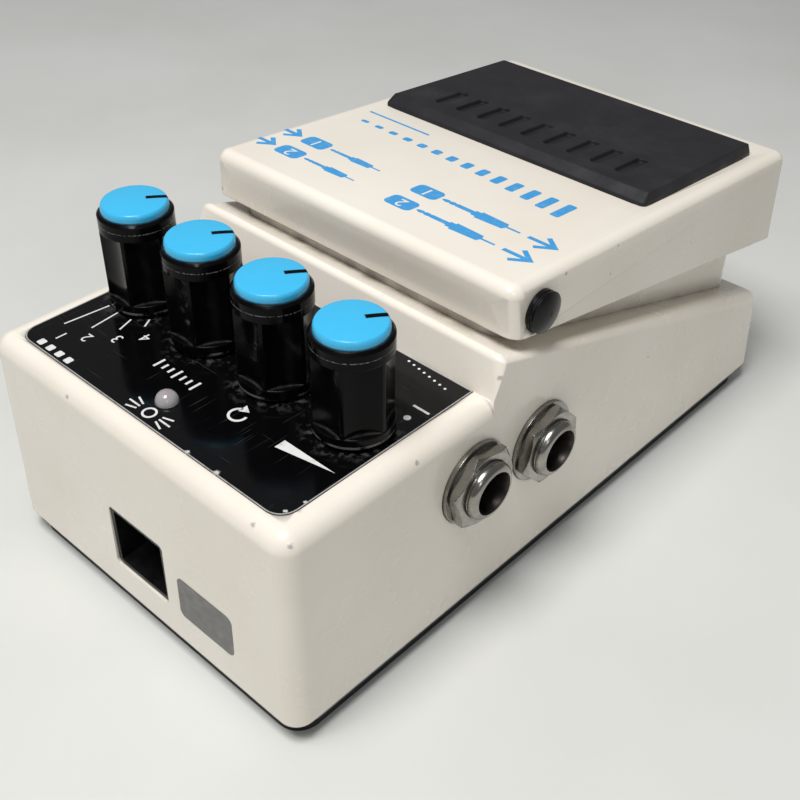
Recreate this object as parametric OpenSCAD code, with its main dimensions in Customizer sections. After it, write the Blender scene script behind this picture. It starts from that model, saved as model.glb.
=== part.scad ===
// Compact foot pedal for a digital delay: a cast case with a control panel, a hinged treadle
// over a sprung foot switch, and jacks in the side walls.
// The player stands on the -Y side, the control panel is towards +Y, and the floor is z = 0.

/* [Case] */
// Width of the case at its bottom edge
case_w = 69; // [66:0.5:76]
// Length of the case at its bottom edge
case_l = 126; // [122:1:140]
// Lean of the outer walls, in degrees
draft = 1.15; // [0.5:0.05:2]
// Radius of the upright corners
corner_r = 5.4; // [4.5:0.2:7]
// Rounding of the panel's outer edges
panel_edge_r = 3; // [1.5:0.25:4]
// Rounding of the ledge's outer edges
ledge_edge_r = 2.2; // [1:0.2:3]
// Thickness of the cast walls
wall = 2.6; // [2:0.1:3]
// Height of the control panel above the bottom edge
panel_h = 36; // [35:0.5:38]
// Length of the control panel, from the back wall to the foot of the step
panel_l = 41.3; // [40:0.2:43]
// Rise of the step from the panel to the ledge
step_rise = 6.2; // [5:0.2:8]
// Lean of the step's face, in degrees
step_lean = 14; // [5:1:20]
// Rounding of the step's top edge
step_round = 1.1; // [0.6:0.1:1.6]
// Slope of the ledge beside the treadle, in degrees
ledge_slope = 17.4; // [16:0.2:18.4]

/* [Base] */
// Thickness of the steel bottom plate
plate_t = 1.2; // [0.8:0.1:2]
// Thickness of the rubber mat
mat_t = 2.8; // [2.2:0.1:4]
// Inset of the bottom plate from the case's edge
plate_inset = 0.5; // [0.2:0.1:1.5]
// Inset of the mat from the plate's edge
mat_inset = 0.9; // [0.4:0.1:3]

/* [Treadle] */
// Inset of the treadle's skirts from the case's sides
treadle_inset = 1.5; // [1:0.1:2]
// Gap between the step's edge and the treadle's back wall
treadle_gap = 3.3; // [2.6:0.1:4]
// Overhang of the treadle past the case's front edge
treadle_overhang = 0.65; // [0:0.05:1.5]
// Height of the treadle's back edge above the step
treadle_lift = 1.28; // [1:0.02:1.8]
// Depth of the treadle at its back
treadle_depth = 8.3; // [7.8:0.1:9]
// Slope of the treadle's top, in degrees
top_slope = 4.57; // [3.5:0.05:5.5]
// Slope of the skirts' lower edges, in degrees
skirt_slope = 10.95; // [10:0.05:12]
// Thickness of the skirts
skirt_t = 2.4; // [2:0.1:2.6]
// Thickness of the top
top_t = 2.2; // [2:0.1:2.4]
// Radius of the treadle's upright corners
treadle_r = 4.6; // [4:0.1:6]
// Rounding of the treadle's top edges
treadle_edge_r = 3.2; // [2.4:0.1:4]
// Angle that the treadle travels when it is pressed, in degrees
press_angle = 3.5; // [2:0.1:4]
// Width of the rubber pad
pad_w = 57.4; // [50:0.2:59]
// Length of the rubber pad
pad_l = 34.3; // [28:0.1:38]
// Distance from the treadle's front edge to the pad
pad_setback = 8.4; // [6:0.1:12]
// Thickness of the rubber pad
pad_t = 2.4; // [1.6:0.1:3]

/* [Hinge] */
// Distance of the hinge from the treadle's back wall
hinge_setback = 5.95; // [5.4:0.05:6.6]
// Height of the hinge above the treadle's back edge
hinge_rise = 2.72; // [2.4:0.01:3.1]
// Radius of the hinge shaft
shaft_r = 1.5; // [1.2:0.1:1.6]
// Radius of the well's bosses round the shaft
thrust_r = 2.4; // [2.2:0.1:2.5]
// Radius of the bearing cap's sleeve
cap_sleeve_r = 2.5; // [2.2:0.1:2.8]
// Radius of the bearing cap's flange and head
cap_flange_r = 3.3; // [3.1:0.05:3.6]

/* [Well] */
// Gap between the skirts and the well's sides
well_gap = 1.9; // [1.4:0.1:2.4]
// Gap between the treadle's front wall and the well
well_front_gap = 3.25; // [2.8:0.05:4]
// Thickness of the well's walls
well_wall = 2.4; // [2:0.1:3]
// Height of the well's floor above the bottom edge
floor_h = 12; // [11:0.2:13]
// Height of the thumbscrew above the treadle's front lower edge
thumb_rise = 4.6; // [4.2:0.1:5]
// Radius of the thumbscrew's shank
thumb_r = 2; // [1.5:0.1:2.2]
// Radius of the thumbscrew's grip
grip_r = 5; // [4:0.1:5.4]

/* [Return spring and switch] */
// Radius of the spring's coil, to the middle of its wire
coil_r = 4.6; // [4:0.1:5.4]
// Radius of the spring's wire
wire_r = 0.55; // [0.4:0.05:0.7]
// Number of turns in the spring
coil_turns = 8; // [6:1:10]
// Radius of the foot switch's plunger
plunger_r = 3; // [2:0.1:3.4]
// Width of the foot switch's body
switch_w = 12; // [10:0.5:13]

/* [Controls] */
// Distance between knobs
knob_pitch = 15.53; // [14.6:0.01:16]
// Distance of the knobs from the back wall
knob_setback = 23.4; // [22:0.1:24]
// Radius of a knob at its base
knob_r = 5.95; // [5.7:0.05:6.4]
// Height of a knob's black body
knob_h = 16.1; // [13:0.1:18]
// Radius of a knob's blue cap
knob_cap_r = 5.2; // [5:0.05:5.4]
// Height of a knob's blue cap
knob_cap_h = 1.6; // [1.2:0.1:2.4]
// Number of flutes round a knob
knob_flutes = 6; // [5:1:8]
// Radius of a control's shaft
pot_shaft_r = 3; // [2.5:0.1:3]
// Height of a control's housing
pot_h = 7.5; // [6:0.5:8]
// Distance of the lamp from the back wall
led_setback = 9.1; // [8:0.1:11]
// Radius of the lamp
led_r = 1.75; // [1.5:0.05:2.5]
// Width of the printed panel sheet
sheet_w = 60; // [57:0.5:61]
// Length of the printed panel sheet
sheet_l = 37.4; // [36:0.1:37.6]
// Thickness of the printed panel sheet
sheet_t = 0.45; // [0.4:0.05:0.6]

/* [Sockets] */
// Height of the first jack of a wall above the bottom edge
jack_h = 23.6; // [22.6:0.2:24.2]
// Fall from the first jack of a wall to the second
jack_fall = 1.8; // [1:0.2:2.4]
// Distance of the first jack from the back wall
jack_setback = 37.4; // [36:0.1:38]
// Distance between the two jacks of a wall
jack_pitch = 16.2; // [15.5:0.1:17]
// Radius of a jack's bore
jack_bore_r = 3.25; // [3.2:0.05:3.4]
// Radius of a jack's threaded sleeve
sleeve_r = 4.75; // [4.5:0.05:5]
// Reach of a jack's sleeve past the wall
sleeve_reach = 4.2; // [3.4:0.1:5]
// Width of a jack's nut across its flats
nut_af = 11.9; // [11.5:0.1:12.4]
// Thickness of a jack's nut
nut_t = 2; // [1.6:0.1:2.4]
// Radius of a jack's washer
washer_r = 6.9; // [6.6:0.1:7.4]
// Thickness of a jack's washer
washer_t = 0.7; // [0.5:0.1:1]
// Width of the power inlet
inlet_w = 13; // [12:0.1:14]
// Height of the power inlet
inlet_h = 12; // [11:0.1:13]
// Height of the inlet's lower edge above the bottom edge
inlet_rise = 5.5; // [5:0.1:7]

/* [Hidden] */
$fn = 64;
// Facets of the round corners of a hulled form
hull_fn = 32;
// Thickness of a hulled form's end slices
slice = 0.02;
// Clearance of pieces that fit together and don't move
fit = 0.02;
// Radial clearance of pieces that run on each other
run = 0.05;
// Clearance between moving pieces that never touch
free = 0.3;
// Clearance of a hole that a piece passes without being held by it
loose = 0.15;
// Chamfer of turned and moulded edges
chamfer = 0.4;
// Overlap of a cut past the face that it opens
cut = 1;

hw = case_w / 2;
hl = case_l / 2;
lean = tan(draft);
base_z = mat_t + plate_t;
ledge_rise = tan(ledge_slope);

step_h = panel_h + step_rise;
step_y = hl - panel_l;
step_top_y = step_y - step_rise * tan(step_lean);

treadle_hw = hw - treadle_inset;
treadle_rear = step_top_y - treadle_gap;
treadle_front = -hl - treadle_overhang;
treadle_rear_h = step_h + treadle_lift;
treadle_taper = 0.5;
inner_edge_r = 1.2;
root = 0.6;
rib_t = 1.6;
rib_h = 2.4;
rib_x = 19;
rib_room = 3;
hinge_y = treadle_rear - hinge_setback;
hinge_h = treadle_rear_h + hinge_rise;
cap_seat_x = treadle_hw - treadle_taper;
cap_sleeve_l = skirt_t - treadle_taper;
cap_flange_t = 0.7;
cap_groove = 0.3;
cap_head_t = 0.4;
dome_h = 0.7;
pad_y = treadle_front + pad_setback + pad_l / 2;
pad_r = 2.5;
pad_sink = 0.4;
pad_bevel = 0.5;
pad_slope = 1.6;
pad_side_h = 0.6;
pad_grooves = 9;
pad_groove_w = 2.2;
pad_groove_l = 8;
pad_groove_r = 0.8;
pad_groove_d = 0.7;
pad_groove_pitch = 5;
pad_groove_y = pad_l / 2 - 8.9;
pad_play = 0.1;

well_hw = treadle_hw - skirt_t - well_gap;
well_front = treadle_front + skirt_t + well_front_gap;
shelf_inset = 1.45;
well_rear = treadle_rear - shelf_inset;
well_r = 4;
deck_gap = 0.6;
deck_rear = treadle_rear - skirt_t - deck_gap;
deck_rear_h = top_z(deck_rear) - top_t - deck_gap;
shelf_h = skirt_z(deck_rear) - deck_gap;
press_drop = (hinge_y - well_front) * sin(press_angle);
deck_front_h = top_z(well_front) - top_t - press_drop - deck_gap;
floor_t = 2.4;
ledge_t = 3.6;
cavity_r = 1.2;
pocket_r = 2.5;

jack_y = [hl - jack_setback, hl - jack_setback - jack_pitch];
input_drop = 1;
function wall_jack_h(side, i) = jack_h - i * jack_fall - (side > 0 ? input_drop : 0);
contact_room = 1;
jack_body_w = 14.8;
jack_body_h = 12.6;
jack_body_l = 22;
jack_floor = 1.6;
jack_room = 1.2;
mouth_flare = 0.8;
// Turn of each nut, the outputs first
nut_turns = [17, 45, 34, 8];
spot_face_x = hw - lean * (jack_h + washer_r);
panel_under = panel_h - wall;
cavity_hw = hw - lean * panel_h - wall;
cavity_rear = hl - lean * panel_h - wall;
cavity_front = jack_y[1] - jack_body_w / 2 - jack_room;
pocket_rear = cavity_front - well_wall;
pocket_front = well_front + well_wall;
pocket_hw = well_hw - well_wall;

battery_l = 45;
battery_w = 26;
battery_t = 17;
battery_room = 1.4;
battery_play = 0.5;
battery_y = pocket_rear - battery_room - battery_w / 2;
battery_x0 = -pocket_hw + battery_play;
battery_x1 = battery_x0 + battery_l;
terminal_h = 3;
terminal_pitch = 12.7;
terminal_r = [2.9, 3.6];
snap_inset = 1;

switch_h = 11;
switch_room = 1;
switch_floor = 1.6;
switch_neck = 1.4;
switch_neck_h = 2;
switch_corner = 1;
switch_y = battery_y - battery_w / 2 - switch_room - switch_w / 2;
plunger_reach = 18.1;
plunger_top_h = floor_h + plunger_reach;
plunger_travel = (hinge_y - switch_y) * press_angle * PI / 180;
post_r = 2.5;
spring_room = 1.5;
spring_seat_t = 2;
spring_seat_rim = 1;
spring_post_room = 1.1;
spring_post_h = 5;
spring_y = switch_y;
switch_x = coil_r + wire_r + spring_room + switch_w / 2;
spring_seat_h = top_z(spring_y) - top_t - spring_seat_t;
spring_post_r = coil_r - wire_r - spring_post_room;
coil_steps = 8;
coil_sides = 6;
coil_count = coil_turns * coil_steps;
coil_low = floor_h + wire_r;
coil_high = spring_seat_h - wire_r;
coil_close_gap = 0.5;
coil_close = 2 * wire_r + coil_close_gap;

thumb_h = skirt_z(treadle_front) + thumb_rise;
grip_t = 3.5;
grip_sink = 1.2;
grip_flutes = 18;
grip_flute_r = 0.55;
coin_slot_w = 1.2;
coin_slot_d = 0.8;
bush_slot_w = 2 * thumb_r + 2 * free;
bush_top = thumb_h + thumb_r + free;
bush_bottom = thumb_h - press_drop - thumb_r - 2 * free;
bush_wall = 1;
bush_flange = 1.1;
bush_flange_t = 1.2;
thumb_tip = 0.8;
thumb_tip_y = pocket_front + bush_flange_t + thumb_tip;
thumb_hold = 2.2;

controls = ["level", "feedback", "time", "mode"];
knob_y = hl - knob_setback;
sheet_sink = 0.35;
sheet_top = panel_h - sheet_sink + sheet_t;
sheet_r = 3;
sheet_gap = 0.2;
sheet_play = 0.05;
sheet_y = step_y + sheet_gap + sheet_l / 2;
knob_gap = 0.4;
knob_z = sheet_top + knob_gap;
knob_base_step = 0.1;
knob_body_r = knob_r - knob_base_step;
knob_collar_h = 2.8;
knob_collar_z = knob_h - knob_collar_h;
knob_base_h = 2;
knob_cap_round = 1;
knob_crown_r = 40;
flute_r = 9;
flute_depth = 1.05;
pointer_w = 0.9;
pointer_start = 0.35 * knob_cap_r;
pointer_turn = 30;
knob_nut_af = 8.8;
knob_nut_t = 1.5;
pot_bush_wall = 0.45;
pot_bush_r = pot_shaft_r + pot_bush_wall;
pot_floor = 1.5;
pot_corner = 1;
pot_w = 12.4;
pot_l = 11.4;
knob_roof = 3.6;
pot_shaft_top = knob_z + knob_h - knob_roof;
control_board_t = 1.6;
control_board_h = panel_under - pot_h;
led_y = hl - led_setback;
led_flange = 0.5;
led_flange_t = 1;
led_lead_r = 0.3;

inlet_depth = 14;
inlet_recess = 4.6;
inlet_lip = 0.8;
inlet_r = 0.9;
inlet_play = 0.05;
inlet_sink = 0.2;
inlet_z = inlet_rise + inlet_h / 2;
inlet_face_y = hl - lean * (inlet_rise + inlet_h) - inlet_sink;
barrel_r = 3.1;
barrel_depth = 8;
pin_r = 1.05;

board_t = 1.6;
board_h = 3;
board_corner = 1;
board_room = 1.2;
board_front_room = 10;
board_rear_room = 3;
board_hw = cavity_hw - board_room;
board_front = -hl + wall + board_front_room;
board_rear = inlet_face_y - inlet_depth - board_rear_room;
board_post_x = 20;
board_post_inset = [8, 10];
board_post_y = [pocket_rear - board_post_inset[0], pocket_front + board_post_inset[1]];
chip_h = 1.8;
chip_w = 10;
chip_l = 6;
chip_pitch = 10;
chip_row = 12;
chip_rows = 3;
chip_room = 4;
main_chip = 20;
board_screw_r = 1.25;
board_screw_grip = 4;
screw_r = 1.5;
screw_grip = 7;
screw_inset = 3.4;
screw_x = hw - wall - screw_inset;
screw_y = hl - wall - screw_inset;
screw_boss_r = 3.5;
screw_boss_h = 9;

cream = "#E9E1D3";
black = "#17171A";
blue = "#42B8F2";
nickel = "#C9CBD0";
steel = "#9EA1A6";
rubber = "#2E2D30";
board_green = "#1E5B3A";

// Height of the ledge, the treadle's top and the skirts' lower edges at a distance along the case
function ledge_z(y) = step_h - (step_top_y - y) * ledge_rise;
function top_z(y) = treadle_rear_h + treadle_depth - (treadle_rear - y) * tan(top_slope);
function skirt_z(y) = treadle_rear_h - (treadle_rear - y) * tan(skirt_slope);
function knob_x(i) = (i - (len(controls) - 1) / 2) * knob_pitch;

// Heights of the case's pieces count from its bottom edge
module on_case() {
    translate([0, 0, base_z]) children();
}

module rounded_rect(w, l, r) {
    square([w - 2 * r, l], center = true);
    square([w, l - 2 * r], center = true);
    for (sx = [-1, 1], sy = [-1, 1])
        translate([sx * (w / 2 - r), sy * (l / 2 - r)]) circle(r);
}

module slab(w, l, r, h) {
    linear_extrude(h) rounded_rect(w, l, r);
}

// Disc with a fully rounded rim, for the corners of a hulled form
module ring(r, edge) {
    rotate_extrude($fn = hull_fn) intersection() {
        translate([r - edge, 0]) circle(edge, $fn = hull_fn);
        translate([0, -edge]) square([r, 2 * edge]);
    }
}

// Outline in Y and Z, drawn out along X
module across(w) {
    rotate([90, 0, 90]) linear_extrude(w, center = true) children();
}

// Round piece along X, pointing to the outside of the given side
module sideways(side, x, y, z) {
    translate([side * x, y, z]) rotate([0, side * 90, 0]) children();
}

module at_jack(side, i, x) {
    sideways(side, x, jack_y[i], wall_jack_h(side, i)) children();
}

// Chassis

module panel_block() {
    rim_h = panel_h - panel_edge_r;
    rim_hw = hw - lean * rim_h;
    rim_hl = hl - lean * rim_h;
    front = step_y - 2 * wall;
    hull() for (side = [-1, 1]) {
        translate([side * (hw - corner_r), hl - corner_r, 0])
            cylinder(r = corner_r, h = slice, $fn = hull_fn);
        translate([side * (rim_hw - corner_r), rim_hl - corner_r, rim_h]) ring(corner_r, panel_edge_r);
        translate([side * (hw - slice / 2), front, slice / 2]) cube(slice, center = true);
        translate([side * (rim_hw - panel_edge_r), front, rim_h]) sphere(panel_edge_r, $fn = hull_fn);
    }
}

module ledge_block() {
    front_y = -hl + corner_r;
    front_h = ledge_z(front_y);
    front_hw = hw - lean * front_h;
    foot_hw = hw - lean * panel_h;
    top_hw = hw - lean * step_h;
    top_round_x = 2 * step_round;
    hull() for (side = [-1, 1]) {
        translate([side * (hw - corner_r), -hl + corner_r, 0])
            cylinder(r = corner_r, h = slice, $fn = hull_fn);
        translate([side * (hw - slice / 2), step_y - slice / 2, slice / 2]) cube(slice, center = true);
        translate([side * (foot_hw - slice / 2), step_y - slice / 2, panel_h]) cube(slice, center = true);
        translate([side * (front_hw - corner_r), front_y + lean * front_h, front_h])
            rotate([ledge_slope, 0, 0]) translate([0, 0, -ledge_edge_r]) ring(corner_r, ledge_edge_r);
        translate([side * (top_hw - top_round_x), step_top_y - step_round, step_h - step_round])
            scale([2, 1, 1]) sphere(step_round, $fn = hull_fn);
    }
}

// Plan of the well, grown by a room all round
module well_plan(room, h) {
    translate([0, (well_rear + well_front) / 2, floor_h - floor_t - room])
        slab(2 * (well_hw + room), well_rear - well_front + 2 * room, well_r + room, h);
}

// Walls of the well that stand up under the treadle, with a lower shelf behind the hinge
module well_block() {
    intersection() {
        well_plan(0, deck_rear_h);
        across(2 * hw) polygon([
            [well_front - cut, floor_h - floor_t], [well_rear + cut, floor_h - floor_t],
            [well_rear + cut, shelf_h], [deck_rear, shelf_h], [deck_rear, deck_rear_h],
            [well_front - cut, deck_front_h]
        ]);
    }
}

// Space for the boards and sockets, open to the bottom plate
module lower_cavity() {
    floor_under = floor_h - floor_t;
    translate([0, (cavity_front + cavity_rear) / 2, -cut])
        slab(2 * cavity_hw, cavity_rear - cavity_front, cavity_r, panel_under + cut);
    board_space_l = cavity_front + 2 * wall + hl;
    translate([0, board_space_l / 2 + wall - hl, -cut])
        slab(2 * (hw - wall), board_space_l, corner_r - wall, floor_under + cut);
    for (side = [-1, 1])
        translate([side * (well_hw + hw - wall) / 2, 0, 0]) across(hw - wall - well_hw) polygon([
            [well_front, 0], [cavity_front, 0],
            [cavity_front, ledge_z(cavity_front) - ledge_t], [well_front, ledge_z(well_front) - ledge_t]
        ]);
    deck_core_h = hinge_h - shaft_r - well_wall;
    translate([-pocket_hw, cavity_front + wall, panel_under - cut])
        cube([2 * pocket_hw, deck_rear - cavity_front - 2 * wall, deck_core_h - panel_under + cut]);
}

module chassis_openings() {
    for (side = [-1, 1], i = [0:len(jack_y) - 1]) {
        at_jack(side, i, cavity_hw - cut) cylinder(r = sleeve_r + loose, h = 2 * wall + cut);
        at_jack(side, i, spot_face_x) cylinder(r = washer_r + loose, h = 2 * wall);
    }
    translate([0, hl, inlet_z]) rotate([90, 0, 0])
        translate([0, 0, -wall]) slab(inlet_w, inlet_h, inlet_r, 4 * wall);
    sheet_plan(sheet_play, cut);
    for (i = [0:len(controls) - 1])
        translate([knob_x(i), knob_y, panel_under - cut]) cylinder(r = pot_bush_r + fit, h = 2 * wall);
    translate([0, led_y, panel_under - cut]) cylinder(r = led_r + run, h = 2 * wall);
    translate([0, hinge_y, hinge_h]) rotate([0, 90, 0])
        cylinder(r = shaft_r + fit, h = 2 * hw, center = true);
    translate([0, (pocket_rear + pocket_front) / 2, floor_h])
        slab(2 * pocket_hw, pocket_rear - pocket_front, pocket_r, deck_rear_h);
    translate([0, pocket_front, 0]) rotate([90, 0, 0])
        translate([0, 0, -cut]) linear_extrude(well_wall + 2 * cut) bush_outline(bush_wall + fit);
}

module screw_boss(h, r) {
    difference() {
        cylinder(r = screw_boss_r, h = h);
        translate([0, 0, -cut]) cylinder(r = r + fit, h = h);
    }
}

module chassis() on_case() color(cream) {
    difference() {
        union() {
            panel_block();
            ledge_block();
        }
        well_plan(fit, deck_rear_h);
        lower_cavity();
        chassis_openings();
    }
    for (sx = [-1, 1], sy = [-1, 1])
        translate([sx * screw_x, sy * screw_y, 0]) screw_boss(screw_boss_h, screw_r);
}

// Well under the treadle: battery pocket, hinge deck, spring post and the posts for the main board
module treadle_well() on_case() color(cream) {
    difference() {
        union() {
            well_block();
            for (side = [-1, 1])
                sideways(side, well_hw - wall, hinge_y, hinge_h)
                    cylinder(r = thrust_r, h = wall + well_gap - free);
        }
        lower_cavity();
        chassis_openings();
    }
    for (sx = [-1, 1], y = board_post_y)
        translate([sx * board_post_x, y, board_h + board_t])
            screw_boss(floor_h - floor_t - board_h - board_t + cut, board_screw_r);
    translate([0, spring_y, floor_h - slice]) cylinder(r = spring_post_r, h = spring_post_h);
}

// Base

module bottom_plate() color(steel) difference() {
    translate([0, 0, mat_t])
        slab(case_w - 2 * plate_inset, case_l - 2 * plate_inset, corner_r - plate_inset, plate_t);
    for (sx = [-1, 1], sy = [-1, 1])
        translate([sx * screw_x, sy * screw_y, mat_t - cut])
            cylinder(r = screw_r + loose, h = plate_t + 2 * cut);
}

module base_mat() color(rubber) {
    inset = plate_inset + mat_inset;
    difference() {
        slab(case_w - 2 * inset, case_l - 2 * inset, corner_r - inset, mat_t);
        for (sx = [-1, 1], sy = [-1, 1])
            translate([sx * screw_x, sy * screw_y, -cut])
                cylinder(r = screw_head(screw_r) + 2 * free, h = mat_t + 2 * cut);
    }
}

// Radius of a pan head on a thread
function screw_head(r) = 2 * r;

// Pan-head screw with a cross recess, head down, its seat at z = 0
module cross_screw(r, length) {
    head_h = 1.2 * r;
    difference() {
        union() {
            translate([0, 0, -head_h]) cylinder(r1 = 0.8 * screw_head(r), r2 = screw_head(r), h = head_h);
            cylinder(r = r, h = length);
        }
        for (turn = [0, 90])
            rotate(turn) translate([0, 0, -head_h]) cube([2.2 * r, 0.5 * r, 1.2 * r], center = true);
    }
}

module bottom_screws() color(nickel)
    for (sx = [-1, 1], sy = [-1, 1])
        translate([sx * screw_x, sy * screw_y, mat_t]) cross_screw(screw_r, plate_t + screw_grip);

// Treadle

// Wedge with round upright corners and rounded top edges, drawn in from its outside by inset
module treadle_form(inset, lid, drop, edge) {
    r = treadle_r - inset;
    half = treadle_hw - inset;
    hull() for (side = [-1, 1], y = [treadle_rear - inset - r, treadle_front + inset + r]) {
        translate([side * (half - r), y, skirt_z(y) - drop])
            rotate([skirt_slope, 0, 0]) cylinder(r = r, h = slice, $fn = hull_fn);
        translate([side * (half - treadle_taper - r), y, top_z(y) - lid])
            rotate([top_slope, 0, 0]) translate([0, 0, -edge]) ring(r, edge);
    }
}

module on_top(y) {
    translate([0, y, top_z(y)]) rotate([top_slope, 0, 0]) children();
}

module treadle() on_case() color(cream) {
    rib_l = pocket_rear - pocket_front - 2 * rib_room;
    rib_y = (pocket_rear + pocket_front) / 2;
    difference() {
        union() {
            difference() {
                treadle_form(0, 0, 0, treadle_edge_r);
                treadle_form(skirt_t, top_t, cut, inner_edge_r);
            }
            translate([0, treadle_front + skirt_t - cut, thumb_h]) rotate([-90, 0, 0])
                cylinder(r = grip_r, h = grip_sink + cut);
        }
        for (side = [-1, 1]) {
            sideways(side, treadle_hw - skirt_t - cut, hinge_y, hinge_h)
                cylinder(r = cap_sleeve_r + fit, h = skirt_t + 2 * cut);
            sideways(side, cap_seat_x, hinge_y, hinge_h) cylinder(r = cap_flange_r + loose, h = cut);
            sideways(side, well_hw, hinge_y, hinge_h)
                cylinder(r = thrust_r + free, h = treadle_hw - skirt_t - well_hw + slice);
        }
        translate([0, treadle_front - cut, thumb_h]) rotate([-90, 0, 0]) {
            cylinder(r = thumb_r + run, h = 4 * skirt_t);
            cylinder(r = grip_r + free, h = grip_sink + cut);
        }
        on_top(pad_y) translate([0, 0, -pad_sink])
            slab(pad_w + 2 * pad_play, pad_l + 2 * pad_play, pad_r, pad_sink + cut);
    }
    translate([0, spring_y, spring_seat_h])
        cylinder(r = coil_r + wire_r + spring_seat_rim, h = spring_seat_t + root);
    translate([0, spring_y, spring_seat_h - spring_post_h])
        cylinder(r = spring_post_r, h = spring_post_h + root);
    translate([switch_x, switch_y, plunger_top_h + free])
        cylinder(r = post_r, h = top_z(switch_y) - top_t - plunger_top_h - free + root);
    for (side = [-1, 1])
        on_top(rib_y) translate([side * rib_x - rib_t / 2, -rib_l / 2, -top_t - rib_h])
            cube([rib_t, rib_l, rib_h + root]);
}

// Rubber pad: upright sides, a long slope at the back, and a row of grip grooves
module treadle_pad() on_case() color(rubber) on_top(pad_y) translate([0, 0, -pad_sink]) difference() {
    hull() {
        slab(pad_w, pad_l, pad_r, pad_sink + pad_side_h);
        translate([0, (pad_bevel - pad_slope) / 2, 0])
            slab(pad_w - 2 * pad_bevel, pad_l - pad_bevel - pad_slope, pad_r - pad_bevel, pad_t);
    }
    for (i = [0:pad_grooves - 1])
        translate([(i - (pad_grooves - 1) / 2) * pad_groove_pitch, pad_groove_y, pad_t - pad_groove_d])
            slab(pad_groove_w, pad_groove_l, pad_groove_r, cut);
}

// Hinge

module hinge_shaft() on_case() color(steel)
    translate([0, hinge_y, hinge_h]) rotate([0, 90, 0])
        cylinder(r = shaft_r, h = 2 * treadle_hw, center = true);

// Sleeve in the treadle's skirt, closed by a flange and a domed head with a groove between them
module hinge_cap(side) on_case() color(black) sideways(side, cap_seat_x, hinge_y, hinge_h) {
    head_z = cap_flange_t + cap_groove;
    dome_top = head_z + cap_head_t + dome_h;
    ball_r = (cap_flange_r * cap_flange_r + dome_h * dome_h) / (2 * dome_h);
    difference() {
        union() {
            translate([0, 0, -cap_sleeve_l]) cylinder(r = cap_sleeve_r, h = cap_sleeve_l + slice);
            cylinder(r = cap_flange_r, h = cap_flange_t);
            cylinder(r = cap_flange_r - cap_groove, h = head_z + slice);
            intersection() {
                translate([0, 0, dome_top - ball_r]) sphere(ball_r);
                translate([0, 0, head_z]) cylinder(r = cap_flange_r, h = dome_top);
            }
        }
        translate([0, 0, -cap_sleeve_l - cut])
            cylinder(r = shaft_r + run, h = cap_sleeve_l + cut + treadle_taper + free);
    }
}

module hinge_cap_left() hinge_cap(-1);

module hinge_cap_right() hinge_cap(1);

// Thumbscrew

module thumbscrew_grip() on_case() color(black)
    translate([0, treadle_front + grip_sink - fit, thumb_h]) rotate([90, 0, 0]) difference() {
        union() {
            cylinder(r = grip_r, h = grip_t - chamfer);
            cylinder(r = grip_r - chamfer, h = grip_t);
        }
        for (i = [0:grip_flutes - 1])
            rotate(i * 360 / grip_flutes) translate([grip_r + grip_flute_r / 2, 0, -cut])
                cylinder(r = grip_flute_r, h = grip_t + 2 * cut);
        translate([0, 0, grip_t]) cube([2 * grip_r, coin_slot_w, 2 * coin_slot_d], center = true);
        translate([0, 0, -cut]) cylinder(r = thumb_r + fit, h = thumb_hold + cut);
    }

module thumbscrew_shank() on_case() color(steel) {
    grip_end = treadle_front + grip_sink - thumb_hold + free;
    translate([0, grip_end, thumb_h]) rotate([-90, 0, 0])
        cylinder(r = thumb_r, h = thumb_tip_y - grip_end);
}

// Upright slot with round ends, standing off the shank's path by a margin
module bush_outline(margin) {
    low = bush_bottom + bush_slot_w / 2;
    high = bush_top - bush_slot_w / 2;
    r = bush_slot_w / 2 + margin;
    translate([-r, low]) square([2 * r, high - low]);
    for (z = [low, high]) translate([0, z]) circle(r);
}

module guide_bush() on_case() color(black)
    translate([0, pocket_front, 0]) rotate([90, 0, 0]) difference() {
        union() {
            linear_extrude(well_wall) bush_outline(bush_wall);
            translate([0, 0, -bush_flange_t])
                linear_extrude(bush_flange_t) bush_outline(bush_wall + bush_flange);
        }
        translate([0, 0, -bush_flange_t - cut])
            linear_extrude(well_wall + bush_flange_t + 2 * cut) bush_outline(0);
    }

// Return spring

// The first and last turn lie close, and the turns between share the rest of the height
function coil_height(turn) =
    turn < 1 ? coil_low + turn * coil_close :
    turn > coil_turns - 1 ? coil_high - (coil_turns - turn) * coil_close :
    coil_low + coil_close + (turn - 1) * (coil_high - coil_low - 2 * coil_close) / (coil_turns - 2);
function coil_point(i) =
    let (turn = i / coil_steps)
    [coil_r * cos(turn * 360), coil_r * sin(turn * 360), coil_height(turn)];
function wire_point(i, j) =
    let (turn = i / coil_steps * 360, a = j / coil_sides * 360, r = coil_r + wire_r * cos(a))
    [r * cos(turn), r * sin(turn), coil_height(i / coil_steps) + wire_r * sin(a)];
coil_gap = min([
    for (i = [0:coil_count], k = [i + coil_steps - 2:coil_count])
        if (k >= i + coil_steps - 2) norm(coil_point(i) - coil_point(k)) - 2 * wire_r
]);
echo(str("Least gap between the spring's turns: ", coil_gap));

module return_spring() on_case() color(steel) translate([0, spring_y, 0]) {
    last = coil_count * coil_sides;
    walls = [
        for (i = [0:coil_count - 1], j = [0:coil_sides - 1])
            let (a = i * coil_sides + j, b = i * coil_sides + (j + 1) % coil_sides)
            each [[a, a + coil_sides, b], [b, a + coil_sides, b + coil_sides]]
    ];
    ends = [
        for (j = [1:coil_sides - 2]) each [[0, j, j + 1], [last, last + j + 1, last + j]]
    ];
    polyhedron([for (i = [0:coil_count], j = [0:coil_sides - 1]) wire_point(i, j)], concat(walls, ends));
}

// Foot switch

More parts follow.
